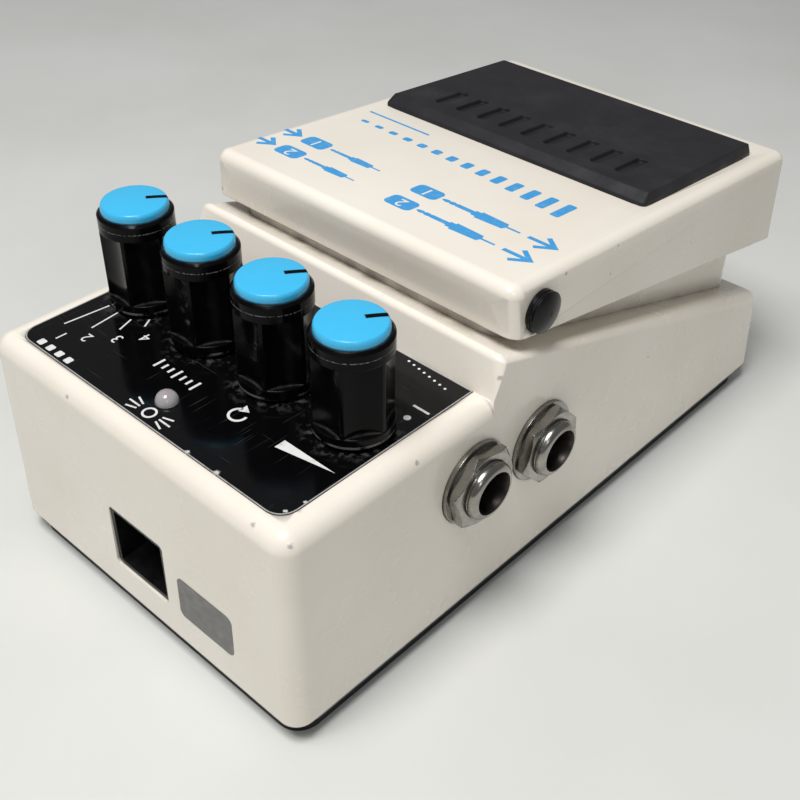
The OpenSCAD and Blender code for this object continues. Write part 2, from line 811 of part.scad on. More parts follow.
module foot_switch() on_case() color(black) translate([switch_x, switch_y, floor_h]) difference() {
    union() {
        slab(switch_w, switch_w, switch_corner, switch_h - switch_neck_h);
        cylinder(r = plunger_r + switch_neck, h = switch_h);
    }
    translate([0, 0, switch_floor]) cylinder(r = plunger_r + run, h = switch_h);
}

module switch_plunger() on_case() color(cream) translate([switch_x, switch_y, 0]) {
    bottom = floor_h + switch_floor + plunger_travel + free;
    translate([0, 0, bottom]) cylinder(r = plunger_r, h = plunger_top_h - bottom);
}

// Battery

module battery() on_case() color("#3B3E46") {
    translate([battery_x0, battery_y - battery_w / 2, floor_h]) cube([battery_l, battery_w, battery_t]);
    for (i = [0, 1])
        sideways(1, battery_x1 - slice, battery_y + (i - 0.5) * terminal_pitch, floor_h + battery_t / 2)
            cylinder(r = terminal_r[i], h = terminal_h);
}

module battery_snap() on_case() color(black) difference() {
    translate([battery_x1 + fit, battery_y - battery_w / 2 + snap_inset, floor_h + snap_inset])
        cube([pocket_hw - battery_x1 - free, battery_w - 2 * snap_inset, battery_t - 2 * snap_inset]);
    for (i = [0, 1])
        sideways(1, battery_x1 - cut, battery_y + (i - 0.5) * terminal_pitch, floor_h + battery_t / 2)
            cylinder(r = terminal_r[i] + loose, h = terminal_h + cut + loose);
}

// Controls

// Sheet with square corners at the step and round ones at the back, grown by a play
module sheet_plan(play, h) {
    half = sheet_w / 2 + play;
    end = sheet_l / 2 + play;
    translate([0, sheet_y, panel_h - sheet_sink]) linear_extrude(h) {
        translate([-half, -end]) square([2 * half, 2 * end - sheet_r]);
        translate([sheet_r - half, end - 2 * sheet_r]) square([2 * half - 2 * sheet_r, 2 * sheet_r]);
        for (side = [-1, 1]) translate([side * (half - sheet_r), end - sheet_r]) circle(sheet_r);
    }
}

module panel_sheet() on_case() color(black) difference() {
    sheet_plan(0, sheet_t);
    for (i = [0:len(controls) - 1])
        translate([knob_x(i), knob_y, panel_under]) cylinder(r = pot_bush_r + loose, h = 2 * wall);
    translate([0, led_y, panel_under]) cylinder(r = led_r + run, h = 2 * wall);
}

module status_led() on_case() color("#DDE3E6") translate([0, led_y, 0]) {
    flange_h = panel_under - led_flange_t - loose;
    translate([0, 0, flange_h]) cylinder(r = led_r, h = sheet_top - flange_h);
    translate([0, 0, sheet_top]) sphere(led_r);
    translate([0, 0, flange_h]) cylinder(r = led_r + led_flange, h = led_flange_t);
    for (s = [-1, 1])
        translate([s * led_r / 2, 0, control_board_h])
            cylinder(r = led_lead_r, h = flange_h - control_board_h + slice);
}

module pointer_bar(w, z, h) {
    rotate(-90 - pointer_turn) translate([pointer_start, -w / 2, z]) cube([knob_r, w, h]);
}

// Round collar over a fluted grip, with a rib that shows through the cap's slot
module knob(i) on_case() color(black) translate([knob_x(i), knob_y, knob_z]) {
    difference() {
        union() {
            rotate_extrude() polygon([
                [0, 0], [knob_r - chamfer, 0], [knob_r, chamfer], [knob_r, knob_base_h - knob_base_step],
                [knob_body_r, knob_base_h], [0, knob_base_h]
            ]);
            translate([0, 0, knob_base_h - slice])
                linear_extrude(knob_collar_z - knob_base_h + 2 * slice) difference() {
                    circle(knob_body_r);
                    for (k = [0:knob_flutes - 1])
                        rotate((k + 0.5) * 360 / knob_flutes)
                            translate([knob_body_r + flute_r - flute_depth, 0]) circle(flute_r);
                }
            translate([0, 0, knob_collar_z]) rotate_extrude() polygon([
                [0, 0], [knob_body_r, 0], [knob_body_r, knob_collar_h - chamfer],
                [knob_body_r - chamfer, knob_collar_h], [0, knob_collar_h]
            ]);
        }
        translate([0, 0, -cut]) cylinder(r = pot_shaft_r + fit, h = pot_shaft_top - knob_z + cut + fit);
        translate([0, 0, -cut])
            cylinder(r = knob_nut_af / sqrt(3) + free, h = knob_nut_t - knob_gap + free + cut);
    }
    intersection() {
        pointer_bar(pointer_w - 2 * fit, knob_h - slice, knob_cap_h + slice);
        knob_crown(knob_cap_r - fit);
    }
}

// Blue top: a flat disc with a round edge and a slight crown
module knob_crown(r) {
    intersection() {
        translate([0, 0, knob_h - slice]) rotate_extrude() {
            square([r - knob_cap_round, knob_cap_h + slice]);
            square([r, knob_cap_h + slice - knob_cap_round]);
            translate([r - knob_cap_round, knob_cap_h + slice - knob_cap_round]) intersection() {
                circle(knob_cap_round);
                square(knob_cap_round);
            }
        }
        translate([0, 0, knob_h + knob_cap_h - knob_crown_r]) sphere(knob_crown_r, $fn = 128);
    }
}

module knob_cap(i) on_case() color(blue) translate([knob_x(i), knob_y, knob_z]) difference() {
    knob_crown(knob_cap_r);
    translate([0, 0, knob_h - cut]) cylinder(r = 2 * knob_r, h = cut);
    pointer_bar(pointer_w, knob_h - cut, knob_cap_h + 2 * cut);
}

module pot_nuts() on_case() color(nickel)
    for (i = [0:len(controls) - 1])
        translate([knob_x(i), knob_y, sheet_top]) difference() {
            cylinder(r = knob_nut_af / sqrt(3), h = knob_nut_t, $fn = 6);
            translate([0, 0, -cut]) cylinder(r = pot_bush_r + fit, h = knob_nut_t + 2 * cut);
        }

module pot(i) on_case() color("#4A4D52") translate([knob_x(i), knob_y, control_board_h]) difference() {
    union() {
        slab(pot_w, pot_l, pot_corner, pot_h);
        cylinder(r = pot_bush_r, h = sheet_top + knob_nut_t - control_board_h);
    }
    translate([0, 0, pot_floor]) cylinder(r = pot_shaft_r + run, h = 2 * panel_h);
}

module pot_shaft(i) on_case() color(steel)
    translate([knob_x(i), knob_y, control_board_h + pot_floor + run])
        cylinder(r = pot_shaft_r, h = pot_shaft_top - control_board_h - pot_floor - run);

// Sockets

// Plastic housing behind the wall, bored for the plug
module jack(side, i) on_case() color(black)
    at_jack(side, i, cavity_hw - jack_body_l) difference() {
        translate([0, 0, jack_body_l / 2]) cube([jack_body_h, jack_body_w, jack_body_l], center = true);
        translate([0, 0, jack_floor]) cylinder(r = jack_bore_r + contact_room, h = jack_body_l);
    }

// Threaded metal sleeve, flared at its mouth and chamfered outside
module jack_sleeve(side, i) on_case() color(nickel) at_jack(side, i, cavity_hw) {
    length = spot_face_x - cavity_hw + sleeve_reach;
    rotate_extrude() polygon([
        [jack_bore_r, 0], [sleeve_r, 0], [sleeve_r, length - chamfer], [sleeve_r - chamfer, length],
        [jack_bore_r + mouth_flare, length], [jack_bore_r, length - mouth_flare]
    ]);
}

module jack_nuts() on_case() color(nickel)
    for (side = [-1, 1], i = [0:len(jack_y) - 1])
        at_jack(side, i, spot_face_x + washer_t) difference() {
            rotate(-side * nut_turns[side + 1 + i]) cylinder(r = nut_af / sqrt(3), h = nut_t, $fn = 6);
            translate([0, 0, -cut]) cylinder(r = sleeve_r + fit, h = nut_t + 2 * cut);
        }

module jack_washers() on_case() color(nickel)
    for (side = [-1, 1], i = [0:len(jack_y) - 1])
        at_jack(side, i, spot_face_x) difference() {
            cylinder(r = washer_r, h = washer_t);
            translate([0, 0, -cut]) cylinder(r = sleeve_r + loose, h = washer_t + 2 * cut);
        }

// Square inlet with a round barrel behind its recess
module power_socket() on_case() color(black)
    translate([0, inlet_face_y, inlet_z]) rotate([90, 0, 0]) difference() {
        slab(inlet_w - 2 * inlet_play, inlet_h - 2 * inlet_play, inlet_r, inlet_depth);
        translate([0, 0, -cut])
            slab(inlet_w - 2 * inlet_lip, inlet_h - 2 * inlet_lip, inlet_r / 2, inlet_recess + cut);
        cylinder(r = barrel_r, h = inlet_recess + barrel_depth);
    }

module power_pin() on_case() color(nickel)
    translate([0, inlet_face_y - inlet_recess - barrel_depth, inlet_z]) rotate([-90, 0, 0])
        cylinder(r = pin_r, h = barrel_depth);

// Boards

module main_board() on_case() color(board_green) difference() {
    translate([0, (board_front + board_rear) / 2, board_h])
        slab(2 * board_hw, board_rear - board_front, board_corner, board_t);
    for (sx = [-1, 1], y = board_post_y)
        translate([sx * board_post_x, y, board_h - cut])
            cylinder(r = board_screw_r + loose, h = board_t + 2 * cut);
}

module control_board() on_case() color(board_green) {
    front = knob_y - pot_l / 2;
    rear = led_y + 2 * led_r;
    translate([0, (front + rear) / 2, control_board_h - control_board_t])
        slab(2 * board_hw, rear - front, board_corner, control_board_t);
}

module board_chips() on_case() color(black) {
    translate([-main_chip / 2, board_rear - chip_room - main_chip, board_h + board_t])
        cube([main_chip, main_chip, chip_h]);
    for (sx = [-1, 1], row = [0:chip_rows - 1])
        translate([sx * chip_pitch - chip_w / 2,
                board_front + 2 * chip_room + row * chip_row, board_h + board_t])
            cube([chip_w, chip_l, chip_h]);
}

module board_screws() on_case() color(nickel)
    for (sx = [-1, 1], y = board_post_y)
        translate([sx * board_post_x, y, board_h]) cross_screw(board_screw_r, board_t + board_screw_grip);

chassis();
treadle_well();
bottom_plate();
base_mat();
bottom_screws();
panel_sheet();
status_led();
treadle();
treadle_pad();
hinge_shaft();
hinge_cap_left();
hinge_cap_right();
thumbscrew_grip();
thumbscrew_shank();
guide_bush();
return_spring();
foot_switch();
switch_plunger();
battery();
battery_snap();
for (i = [0:len(controls) - 1]) {
    knob(i);
    knob_cap(i);
    pot(i);
    pot_shaft(i);
}
pot_nuts();
for (i = [0:len(jack_y) - 1]) {
    jack(-1, i);
    jack(1, i);
    jack_sleeve(-1, i);
    jack_sleeve(1, i);
}
jack_nuts();
jack_washers();
power_socket();
power_pin();
main_board();
control_board();
board_chips();
board_screws();
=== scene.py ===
import math

import bmesh
import bpy
from mathutils import Matrix, Vector


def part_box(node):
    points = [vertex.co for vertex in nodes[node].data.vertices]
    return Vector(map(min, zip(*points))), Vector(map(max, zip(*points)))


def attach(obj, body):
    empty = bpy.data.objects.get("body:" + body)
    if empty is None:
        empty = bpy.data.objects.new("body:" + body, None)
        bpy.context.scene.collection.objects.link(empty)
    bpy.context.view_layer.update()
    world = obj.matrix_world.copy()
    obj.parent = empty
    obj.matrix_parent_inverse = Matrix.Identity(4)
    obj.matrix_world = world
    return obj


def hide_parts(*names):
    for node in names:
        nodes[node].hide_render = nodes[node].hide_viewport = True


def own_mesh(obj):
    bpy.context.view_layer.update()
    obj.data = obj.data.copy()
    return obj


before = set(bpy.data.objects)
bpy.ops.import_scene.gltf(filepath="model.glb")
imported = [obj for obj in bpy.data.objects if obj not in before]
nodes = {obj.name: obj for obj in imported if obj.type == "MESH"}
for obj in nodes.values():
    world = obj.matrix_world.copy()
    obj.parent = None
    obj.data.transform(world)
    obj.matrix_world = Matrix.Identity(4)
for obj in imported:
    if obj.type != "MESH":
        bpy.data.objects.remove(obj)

mm = 0.001
tau = 2 * math.pi
down = (0, 0, -1)
rightward = (1, 0, 0)
scene = bpy.context.scene
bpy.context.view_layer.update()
controls = ["level", "feedback", "time", "mode"]
jackSleeves = ["output_sleeve_1", "output_sleeve_2", "input_sleeve_1", "input_sleeve_2"]


def toLinear(hexCode):
    channels = [int(hexCode[i:i + 2], 16) / 255 for i in (1, 3, 5)]
    return tuple(c / 12.92 if c <= 0.04045 else ((c + 0.055) / 1.055) ** 2.4 for c in channels) + (1.0,)


# adds one shader node, sets its values, links sockets that are given an output, returns one of its outputs
def addNode(tree, kind, sockets, out=0, **settings):
    node = tree.nodes.new("ShaderNode" + kind)
    for name, value in settings.items():
        setattr(node, name, value)
    for key, value in sockets.items():
        if isinstance(value, bpy.types.NodeSocket):
            tree.links.new(value, node.inputs[key])
        else:
            node.inputs[key].default_value = toLinear(value) if isinstance(value, str) else value
    return node.outputs[out] if node.outputs else None


def newMaterial(name):
    material = bpy.data.materials.new(name)
    material.use_nodes = True
    tree = material.node_tree
    tree.nodes.clear()
    return material, tree, addNode(tree, "TexCoord", {}, "Object")


# uneven patches of a size in millimetres, from low to high over the middle stretch of a noise
def patches(tree, coords, sizeMm, low, high, start=0.35, end=0.65, detail=3.0, stretch=(1, 1, 1)):
    spread = addNode(tree, "Mapping", {"Vector": coords, "Scale": stretch})
    noise = addNode(tree, "TexNoise", {"Vector": spread, "Scale": 1 / (sizeMm * mm), "Detail": detail})
    return addNode(tree, "MapRange", {
        "Value": noise, "From Min": start, "From Max": end, "To Min": low, "To Max": high,
    })


# painted shade and dirt that gather where other faces are near, broken up by patches
def shadeAndDirtIn(tree, coords, reachMm, amount, patchMm):
    near = addNode(tree, "AmbientOcclusion", {"Distance": reachMm * mm}, "AO", samples=8)
    closed = addNode(tree, "MapRange", {
        "Value": near, "From Min": 0.75, "From Max": 0.3, "To Min": 0.0, "To Max": amount,
    })
    broken = patches(tree, coords, patchMm, low=0.3, high=1.0)
    return addNode(tree, "Math", {0: closed, 1: broken}, operation="MULTIPLY")


# a soft round spot with a ragged edge, the amount inside and 0 outside
def spotAt(tree, coords, centre, radiusMm, amount):
    raggedShare = 0.8
    solidShare = 0.45
    away = addNode(tree, "VectorMath", {0: coords, 1: centre}, "Value", operation="DISTANCE")
    ragged = patches(tree, coords, raggedShare * radiusMm, low=0.7, high=1.5, start=0.3, end=0.7)
    uneven = addNode(tree, "Math", {0: away, 1: ragged}, operation="MULTIPLY")
    return addNode(tree, "MapRange", {
        "Value": uneven, "From Min": radiusMm * mm, "From Max": solidShare * radiusMm * mm,
        "To Min": 0.0, "To Max": amount,
    })


# relief of a height in millimetres over edges that are rounded by a radius
def relief(tree, coords, grainMm, heightMm, edgeMm, stretch=(1, 1, 1)):
    edge = addNode(tree, "Bevel", {"Radius": edgeMm * mm}, samples=6)
    spread = addNode(tree, "Mapping", {"Vector": coords, "Scale": stretch})
    height = addNode(tree, "TexNoise", {"Vector": spread, "Scale": 1 / (grainMm * mm), "Detail": 2.0})
    return addNode(tree, "Bump", {
        "Height": height, "Distance": heightMm * mm, "Strength": 1.0, "Normal": edge,
    })


def addPiece(name, bm, finishNames, body, sharpDeg=40):
    bmesh.ops.recalc_face_normals(bm, faces=bm.faces)
    mesh = bpy.data.meshes.new(name)
    bm.to_mesh(mesh)
    bm.free()
    for finish in finishNames:
        mesh.materials.append(made[finish])
    mesh.shade_smooth()
    mesh.set_sharp_from_angle(angle=math.radians(sharpDeg))
    piece = bpy.data.objects.new(name, mesh)
    scene.collection.objects.link(piece)
    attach(piece, body)
    return piece


# joins each ring of vertices to the next with quads, in the second material from one ring on
def joinRings(bm, rings, closed=False, secondFrom=None):
    pairs = list(zip(rings, rings[1:] + rings[:1]))
    for k, (first, second) in enumerate(pairs if closed else pairs[:-1]):
        for i in range(len(first)):
            j = (i + 1) % len(first)
            face = bm.faces.new((first[i], first[j], second[j], second[i]))
            face.material_index = int(secondFrom is not None and k >= secondFrom)


def circleRing(bm, place, radius, z, count, startAngle=0.0):
    angles = [startAngle + tau * i / count for i in range(count)]
    return [bm.verts.new(place @ Vector((radius * math.cos(a), radius * math.sin(a), z))) for a in angles]


# frame on a flat face: found by a ray from a point, X along the given direction, Z out of the face
def faceFrame(surface, pointMm, ray, across):
    spot, normal = surface.ray_cast(Vector(pointMm) * mm, Vector(ray))[1:3]
    sideways = (Vector(across) - normal * normal.dot(Vector(across))).normalized()
    turned = Matrix((sideways, normal.cross(sideways), normal)).transposed().to_4x4()
    return Matrix.Translation(spot) @ turned


# castings: the CAD meshes of chassis and treadle with their upright corners and top edges drawn tighter
chassisCorners = {
    "halfWidthMm": 34.5, "halfLengthMm": 63.0, "baseMm": 4.0, "draftDeg": 1.15, "castCornerMm": 5.4,
    "panelMm": 36.0, "panelEdgeMm": 3.0, "ledgeMm": 17.833, "ledgeEdgeMm": 2.2, "ledgeDeg": 17.4,
    "rearCornerMm": 3.1, "frontCornerMm": 2.6,
}
treadleCorners = {
    "halfWidthMm": 33.0, "taperMm": 0.5, "frontMm": -63.65, "rearMm": 16.854, "castCornerMm": 4.6,
    "castEdgeMm": 3.2, "topMm": 55.78, "topDeg": 4.57, "skirtMm": 47.48, "skirtDeg": 10.95,
    "cornerMm": 2.4, "edgeMm": 2.0,
}
castingMesh = {"weldMm": 0.002, "closeMm": 0.05, "wallCos": 0.3, "rimShare": 0.1, "sharpDeg": 30}


# a ring: middle in Y and Z, tilt, half width, end of the piece, corner and edge radius as cast and drawn
def chassisRings(shape):
    lean = math.tan(math.radians(shape["draftDeg"]))
    base = shape["baseMm"]
    corner = shape["castCornerMm"]
    wide = shape["halfWidthMm"]
    far = shape["halfLengthMm"] - corner
    rim = shape["panelMm"] - shape["panelEdgeMm"]
    ledge = shape["ledgeMm"]
    rear = (corner, shape["rearCornerMm"])
    front = (corner, shape["frontCornerMm"])
    panelEdge = (shape["panelEdgeMm"], shape["panelEdgeMm"])
    ledgeEdge = (shape["ledgeEdgeMm"], shape["ledgeEdgeMm"])
    return [
        (far, base, 0, wide, 1, rear, None),
        (far - lean * rim, base + shape["panelMm"], 0, wide - lean * rim, 1, rear, panelEdge),
        (-far, base, 0, wide, -1, front, None),
        (-far + lean * ledge, base + ledge, shape["ledgeDeg"], wide - lean * ledge, -1, front, ledgeEdge),
    ]


def treadleRings(shape):
    corner = (shape["castCornerMm"], shape["cornerMm"])
    edge = (shape["castEdgeMm"], shape["edgeMm"])
    rings = []
    for y, end in ((shape["rearMm"] - corner[0], 1), (shape["frontMm"] + corner[0], -1)):
        fall = shape["rearMm"] - y
        top = shape["topMm"] - fall * math.tan(math.radians(shape["topDeg"]))
        skirt = shape["skirtMm"] - fall * math.tan(math.radians(shape["skirtDeg"]))
        narrow = shape["halfWidthMm"] - shape["taperMm"]
        rings.append((y, top, shape["topDeg"], narrow, end, corner, edge))
        rings.append((y, skirt, shape["skirtDeg"], shape["halfWidthMm"], end, corner, None))
    return rings


# moves the vertices of one ring's corners in the ring's own frame, from the cast radius to the drawn one
def tightenRing(bm, y, z, tiltDeg, half, end, corner, edge):
    close = castingMesh["closeMm"]
    cast, drawn = corner
    castEdge, drawnEdge = edge or (0.0, 0.0)
    shrink = drawnEdge / castEdge if edge else 1.0
    place = Matrix.Translation((0, y, z)) @ Matrix.Rotation(math.radians(tiltDeg), 4, "X")
    back = place.inverted()
    outward = place.col[2].to_3d()
    for vert in bm.verts:
        spot = back @ (vert.co / mm)
        outX = abs(spot.x) - half + cast
        outY = end * spot.y
        reach = math.hypot(outX, outY)
        offRing = math.hypot(reach - cast + castEdge, spot.z + castEdge) - castEdge
        if min(outX, outY) < -close or abs(offRing) > close or spot.z < -castEdge - close:
            continue
        # where the sheet's recess cuts the cast round edge, its rim goes up to the flat and stays in place
        walls = [face for face in vert.link_faces if abs(face.normal.dot(outward)) < castingMesh["wallCos"]]
        if edge and walls and spot.z > -castingMesh["rimShare"] * castEdge:
            vert.co = (place @ Vector((spot.x, spot.y, 0))) * mm
            continue
        grow = (drawn - (cast - reach) * shrink) / reach
        newX = half - drawn + outX * grow
        newY = cast - drawn + outY * grow
        vert.co = (place @ Vector((math.copysign(newX, spot.x), end * newY, spot.z * shrink))) * mm


castings = {}
for node, body, rings in (("chassis", "case", chassisRings(chassisCorners)),
                          ("treadle", "treadle", treadleRings(treadleCorners))):
    casting = bmesh.new()
    casting.from_mesh(nodes[node].data)
    bmesh.ops.remove_doubles(casting, verts=casting.verts, dist=castingMesh["weldMm"] * mm)
    casting.normal_update()
    for ring in rings:
        tightenRing(casting, *ring)
    castings[node] = addPiece(node + "Casting", casting, [], body, castingMesh["sharpDeg"])
    castings[node].modifiers.new("evenNormals", "WEIGHTED_NORMAL").keep_sharp = True
overTreadle = (0, 0, 80)
treadleFace = faceFrame(nodes["treadle"], overTreadle, down, rightward)
for node, casting in castings.items():
    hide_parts(node)
bpy.context.view_layer.update()
print("castings done")

# cast zinc under sprayed enamel: warm ivory, half gloss, faint orange peel, painted shade and dirt in the
# corners, small grey chips
enamelLook = {
    "ivory": "#EFE8DC", "shade": "#E8E0D2", "chip": "#9C9799", "speck": "#877F76", "cloudMm": 30,
    "peelMm": 2.4, "peelHeightMm": 0.0015, "roughness": (0.23, 0.29), "smearMm": 8, "edgeMm": 0.3,
    "shadeAndDirtReachMm": 3.2, "shadeAndDirtPatchMm": 4.0, "speckCellMm": 9, "speckMm": 0.13, "speckAmount": 0.6,
    "chipAmount": 0.75,
}
# colour and amount of the painted shade and dirt in each node's corners; on the treadle well the grey is
# painted shade
enamelShadeAndDirt = {"chassis": ("#74634A", 0.75), "treadle_well": ("#84828A", 0.75), "treadle": ("#8A7F70", 0.4)}
enamelChips = {
    "chassis": [((-27.1, 61.6, 39.2), 0.55), ((-33.0, 60.5, 38.6), 0.5), ((13.3, 62.0, 38.2), 0.5),
                ((-33.5, 37.7, 38.4), 0.5), ((-33.7, 20.6, 43.6), 0.6), ((-34.2, -21.0, 26.0), 0.3)],
    "treadle_well": [((-20.0, 14.0, 47.0), 0.3)],
    "treadle": [((31.4, 16.6, 48.4), 0.5), ((-32.8, -8.6, 52.6), 0.3), ((-32.8, -6.9, 48.4), 0.32),
                ((-32.6, 4.8, 53.4), 0.42), ((-32.8, -31.0, 44.0), 0.3)],
}


def enamelMaterial(node):
    look = enamelLook
    material, tree, coords = newMaterial("ivoryEnamel." + node)
    cloud = patches(tree, coords, look["cloudMm"], low=0, high=1)
    paint = addNode(tree, "MixRGB", {"Fac": cloud, "Color1": look["ivory"], "Color2": look["shade"]})
    # painted shade and dirt darken the paint where other faces are near
    shadeAndDirtColour, shadeAndDirtAmount = enamelShadeAndDirt[node]
    shadeAndDirt = shadeAndDirtIn(tree, coords, look["shadeAndDirtReachMm"], shadeAndDirtAmount, look["shadeAndDirtPatchMm"])
    paint = addNode(tree, "MixRGB", {"Fac": shadeAndDirt, "Color1": paint, "Color2": shadeAndDirtColour})
    speckSize = look["speckMm"] / look["speckCellMm"]
    cells = addNode(tree, "TexVoronoi", {"Vector": coords, "Scale": 1 / (look["speckCellMm"] * mm)})
    speck = addNode(tree, "MapRange", {
        "Value": cells, "From Min": speckSize, "From Max": speckSize / 2,
        "To Min": 0.0, "To Max": look["speckAmount"],
    })
    paint = addNode(tree, "MixRGB", {"Fac": speck, "Color1": paint, "Color2": look["speck"]})
    for placeMm, radiusMm in enamelChips[node]:
        centre = castings.get(node, nodes[node]).closest_point_on_mesh(Vector(placeMm) * mm)[1]
        bare = spotAt(tree, coords, centre, radiusMm, look["chipAmount"])
        paint = addNode(tree, "MixRGB", {"Fac": bare, "Color1": paint, "Color2": look["chip"]})
    gloss = addNode(tree, "BsdfPrincipled", {
        "Base Color": paint, "Roughness": patches(tree, coords, look["smearMm"], *look["roughness"]),
        "IOR": 1.5, "Coat Weight": 0.35, "Coat Roughness": 0.07,
        "Normal": relief(tree, coords, look["peelMm"], look["peelHeightMm"], look["edgeMm"]),
    })
    addNode(tree, "OutputMaterial", {"Surface": gloss})
    return material


# polyester sheet printed black on its back: deep gloss, hairline scratches both ways, scuffs round the knobs
sheetLook = {
    "black": "#060607", "scratch": "#8A898C", "scuff": "#6A6867", "chip": "#CFCDC7", "scratchMm": 0.28,
    "scratchLong": 0.03, "scratchAmount": 0.09, "scratchRough": 0.2, "scuffRingMm": (5.8, 8.2),
    "scuffPatchMm": 1.1, "scuffAmount": 0.5, "chipAmount": 0.9, "roughness": (0.07, 0.17), "smearMm": 7,
    "shine": 0.25,
}
sheetChips = [((-10.9, 59.0), 0.5), ((-17.0, 58.9), 0.6), ((-29.6, 54.7), 0.35), ((-29.0, 57.6), 0.4)]


def sheetMaterial():
    look = sheetLook
    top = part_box("panel_sheet")[1].z
    material, tree, coords = newMaterial("blackPolyesterSheet")
    long = look["scratchLong"]
    hairlines = {"sizeMm": look["scratchMm"], "low": 0, "high": 1, "start": 0.70, "end": 0.76, "detail": 2.0}
    along = patches(tree, coords, **hairlines, stretch=(1.0, long, 1.0))
    across = patches(tree, coords, **hairlines, stretch=(long, 1.0, 1.0))
    scratched = addNode(tree, "Math", {0: along, 1: across}, operation="MAXIMUM")
    faint = addNode(tree, "Math", {0: scratched, 1: look["scratchAmount"]}, operation="MULTIPLY")
    colour = addNode(tree, "MixRGB", {"Fac": faint, "Color1": look["black"], "Color2": look["scratch"]})
    inner, outer = look["scuffRingMm"]
    for control in controls:
        low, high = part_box(control + "_knob")
        middle = Vector(((low.x + high.x) / 2, (low.y + high.y) / 2, top))
        away = addNode(tree, "VectorMath", {0: coords, 1: middle}, "Value", operation="DISTANCE")
        ring = addNode(tree, "MapRange", {
            "Value": away, "From Min": outer * mm, "From Max": inner * mm,
            "To Min": 0.0, "To Max": look["scuffAmount"],
        })
        broken = patches(tree, coords, look["scuffPatchMm"], low=0.0, high=1.0, start=0.5, end=0.75)
        scuffed = addNode(tree, "Math", {0: ring, 1: broken}, operation="MULTIPLY")
        colour = addNode(tree, "MixRGB", {"Fac": scuffed, "Color1": colour, "Color2": look["scuff"]})
    for (x, y), radiusMm in sheetChips:
        chipped = spotAt(tree, coords, Vector((x * mm, y * mm, top)), radiusMm, look["chipAmount"])
        colour = addNode(tree, "MixRGB", {"Fac": chipped, "Color1": colour, "Color2": look["chip"]})
    smear = patches(tree, coords, look["smearMm"], *look["roughness"])
    dulled = look["scratchRough"]
    rough = addNode(tree, "Math", {0: scratched, 1: dulled, 2: smear}, operation="MULTIPLY_ADD")
    gloss = addNode(tree, "BsdfPrincipled", {
        "Base Color": colour, "Roughness": rough, "IOR": 1.57, "Specular IOR Level": look["shine"],
        "Normal": relief(tree, coords, grainMm=2.5, heightMm=0.002, edgeMm=0.08),
    })
    addNode(tree, "OutputMaterial", {"Surface": gloss})
    return material


# pale rings on a knob, the one at the cap seam a painted highlight: height, half width in mm, amount, patch
# size in mm
knobLow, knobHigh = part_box("level_knob")
paintedSeamHighlight = (knobHigh.z - 3.1 * mm, 0.08, 0.6, 0.3)
scuffedFoot = (knobLow.z + 0.4 * mm, 0.4, 0.45, 2.5)
# moulded resins: one colour through, fine mould texture, paler where rubbed, dust where fingers don't reach,
# on the blue caps a darker blue of painted shade there
resinUsual = {"dustAndShadeAmount": 0.3, "shine": 0.5, "bands": [], "wearMm": 2.5, "smearMm": 3.0}
resinLooks = {
    "glossyBlackAbs": {
        "colour": "#060607", "rubbed": "#1B1B1D", "dust": "#8E8D8C", "roughness": (0.10, 0.22),
        "grainMm": 0.7, "grainHeightMm": 0.003, "edgeMm": 0.22, "dustAndShadeAmount": 0.25, "dustAndShadeReachMm": 1.0,
        "scuff": 0.2, "shine": 0.08, "bands": [paintedSeamHighlight, scuffedFoot],
    },
    "skyBlueAbs": {
        # its dust colour is a darker copy of the blue, painted shade in the cap's corners
        "colour": "#3DB3E2", "rubbed": "#50BDE7", "dust": "#2F8CC2", "roughness": (0.20, 0.30),
        "grainMm": 0.35, "grainHeightMm": 0.003, "edgeMm": 0.3, "dustAndShadeReachMm": 1.0,
        "scuff": 0.15,
    },
    "polishedBlackNylon": {
        "colour": "#0A0A0B", "rubbed": "#1E1E20", "dust": "#6E6C69", "roughness": (0.12, 0.26),
        "grainMm": 0.6, "grainHeightMm": 0.003, "edgeMm": 0.12, "dustAndShadeReachMm": 0.5,
        "scuff": 0.3, "shine": 0.2,
    },
    "blackNylon": {
        "colour": "#0C0C0D", "rubbed": "#222224", "dust": "#6E6C69", "roughness": (0.24, 0.42),
        "grainMm": 0.4, "grainHeightMm": 0.005, "edgeMm": 0.2, "dustAndShadeAmount": 0.12, "dustAndShadeReachMm": 0.8,
        "scuff": 0.3, "shine": 0.25,
    },
    "whiteAcetal": {
        "colour": "#E6E3DA", "rubbed": "#F0EEE8", "dust": "#A9A08C", "roughness": (0.30, 0.42),
        "grainMm": 0.5, "grainHeightMm": 0.004, "edgeMm": 0.2, "dustAndShadeAmount": 0.4, "dustAndShadeReachMm": 1.5,
        "scuff": 0.1,
    },
    "greyPotHousing": {
        "colour": "#4A4D52", "rubbed": "#63666B", "dust": "#8B8A86", "roughness": (0.38, 0.55),
        "grainMm": 0.5, "grainHeightMm": 0.006, "edgeMm": 0.15, "dustAndShadeReachMm": 1.5,
        "scuff": 0.2,
    },
    "chipResin": {
        "colour": "#1A1A1C", "rubbed": "#39393B", "dust": "#77756F", "roughness": (0.45, 0.6),
        "grainMm": 0.15, "grainHeightMm": 0.005, "edgeMm": 0.1, "dustAndShadeReachMm": 1.0,
        "scuff": 0.2,
    },
    "batteryJacket": {
        "colour": "#3B3E46", "rubbed": "#6A6D74", "dust": "#8A8780", "roughness": (0.22, 0.36),
        "grainMm": 3.0, "grainHeightMm": 0.02, "edgeMm": 0.4, "dustAndShadeReachMm": 2.0,
        "scuff": 0.3,
    },
}


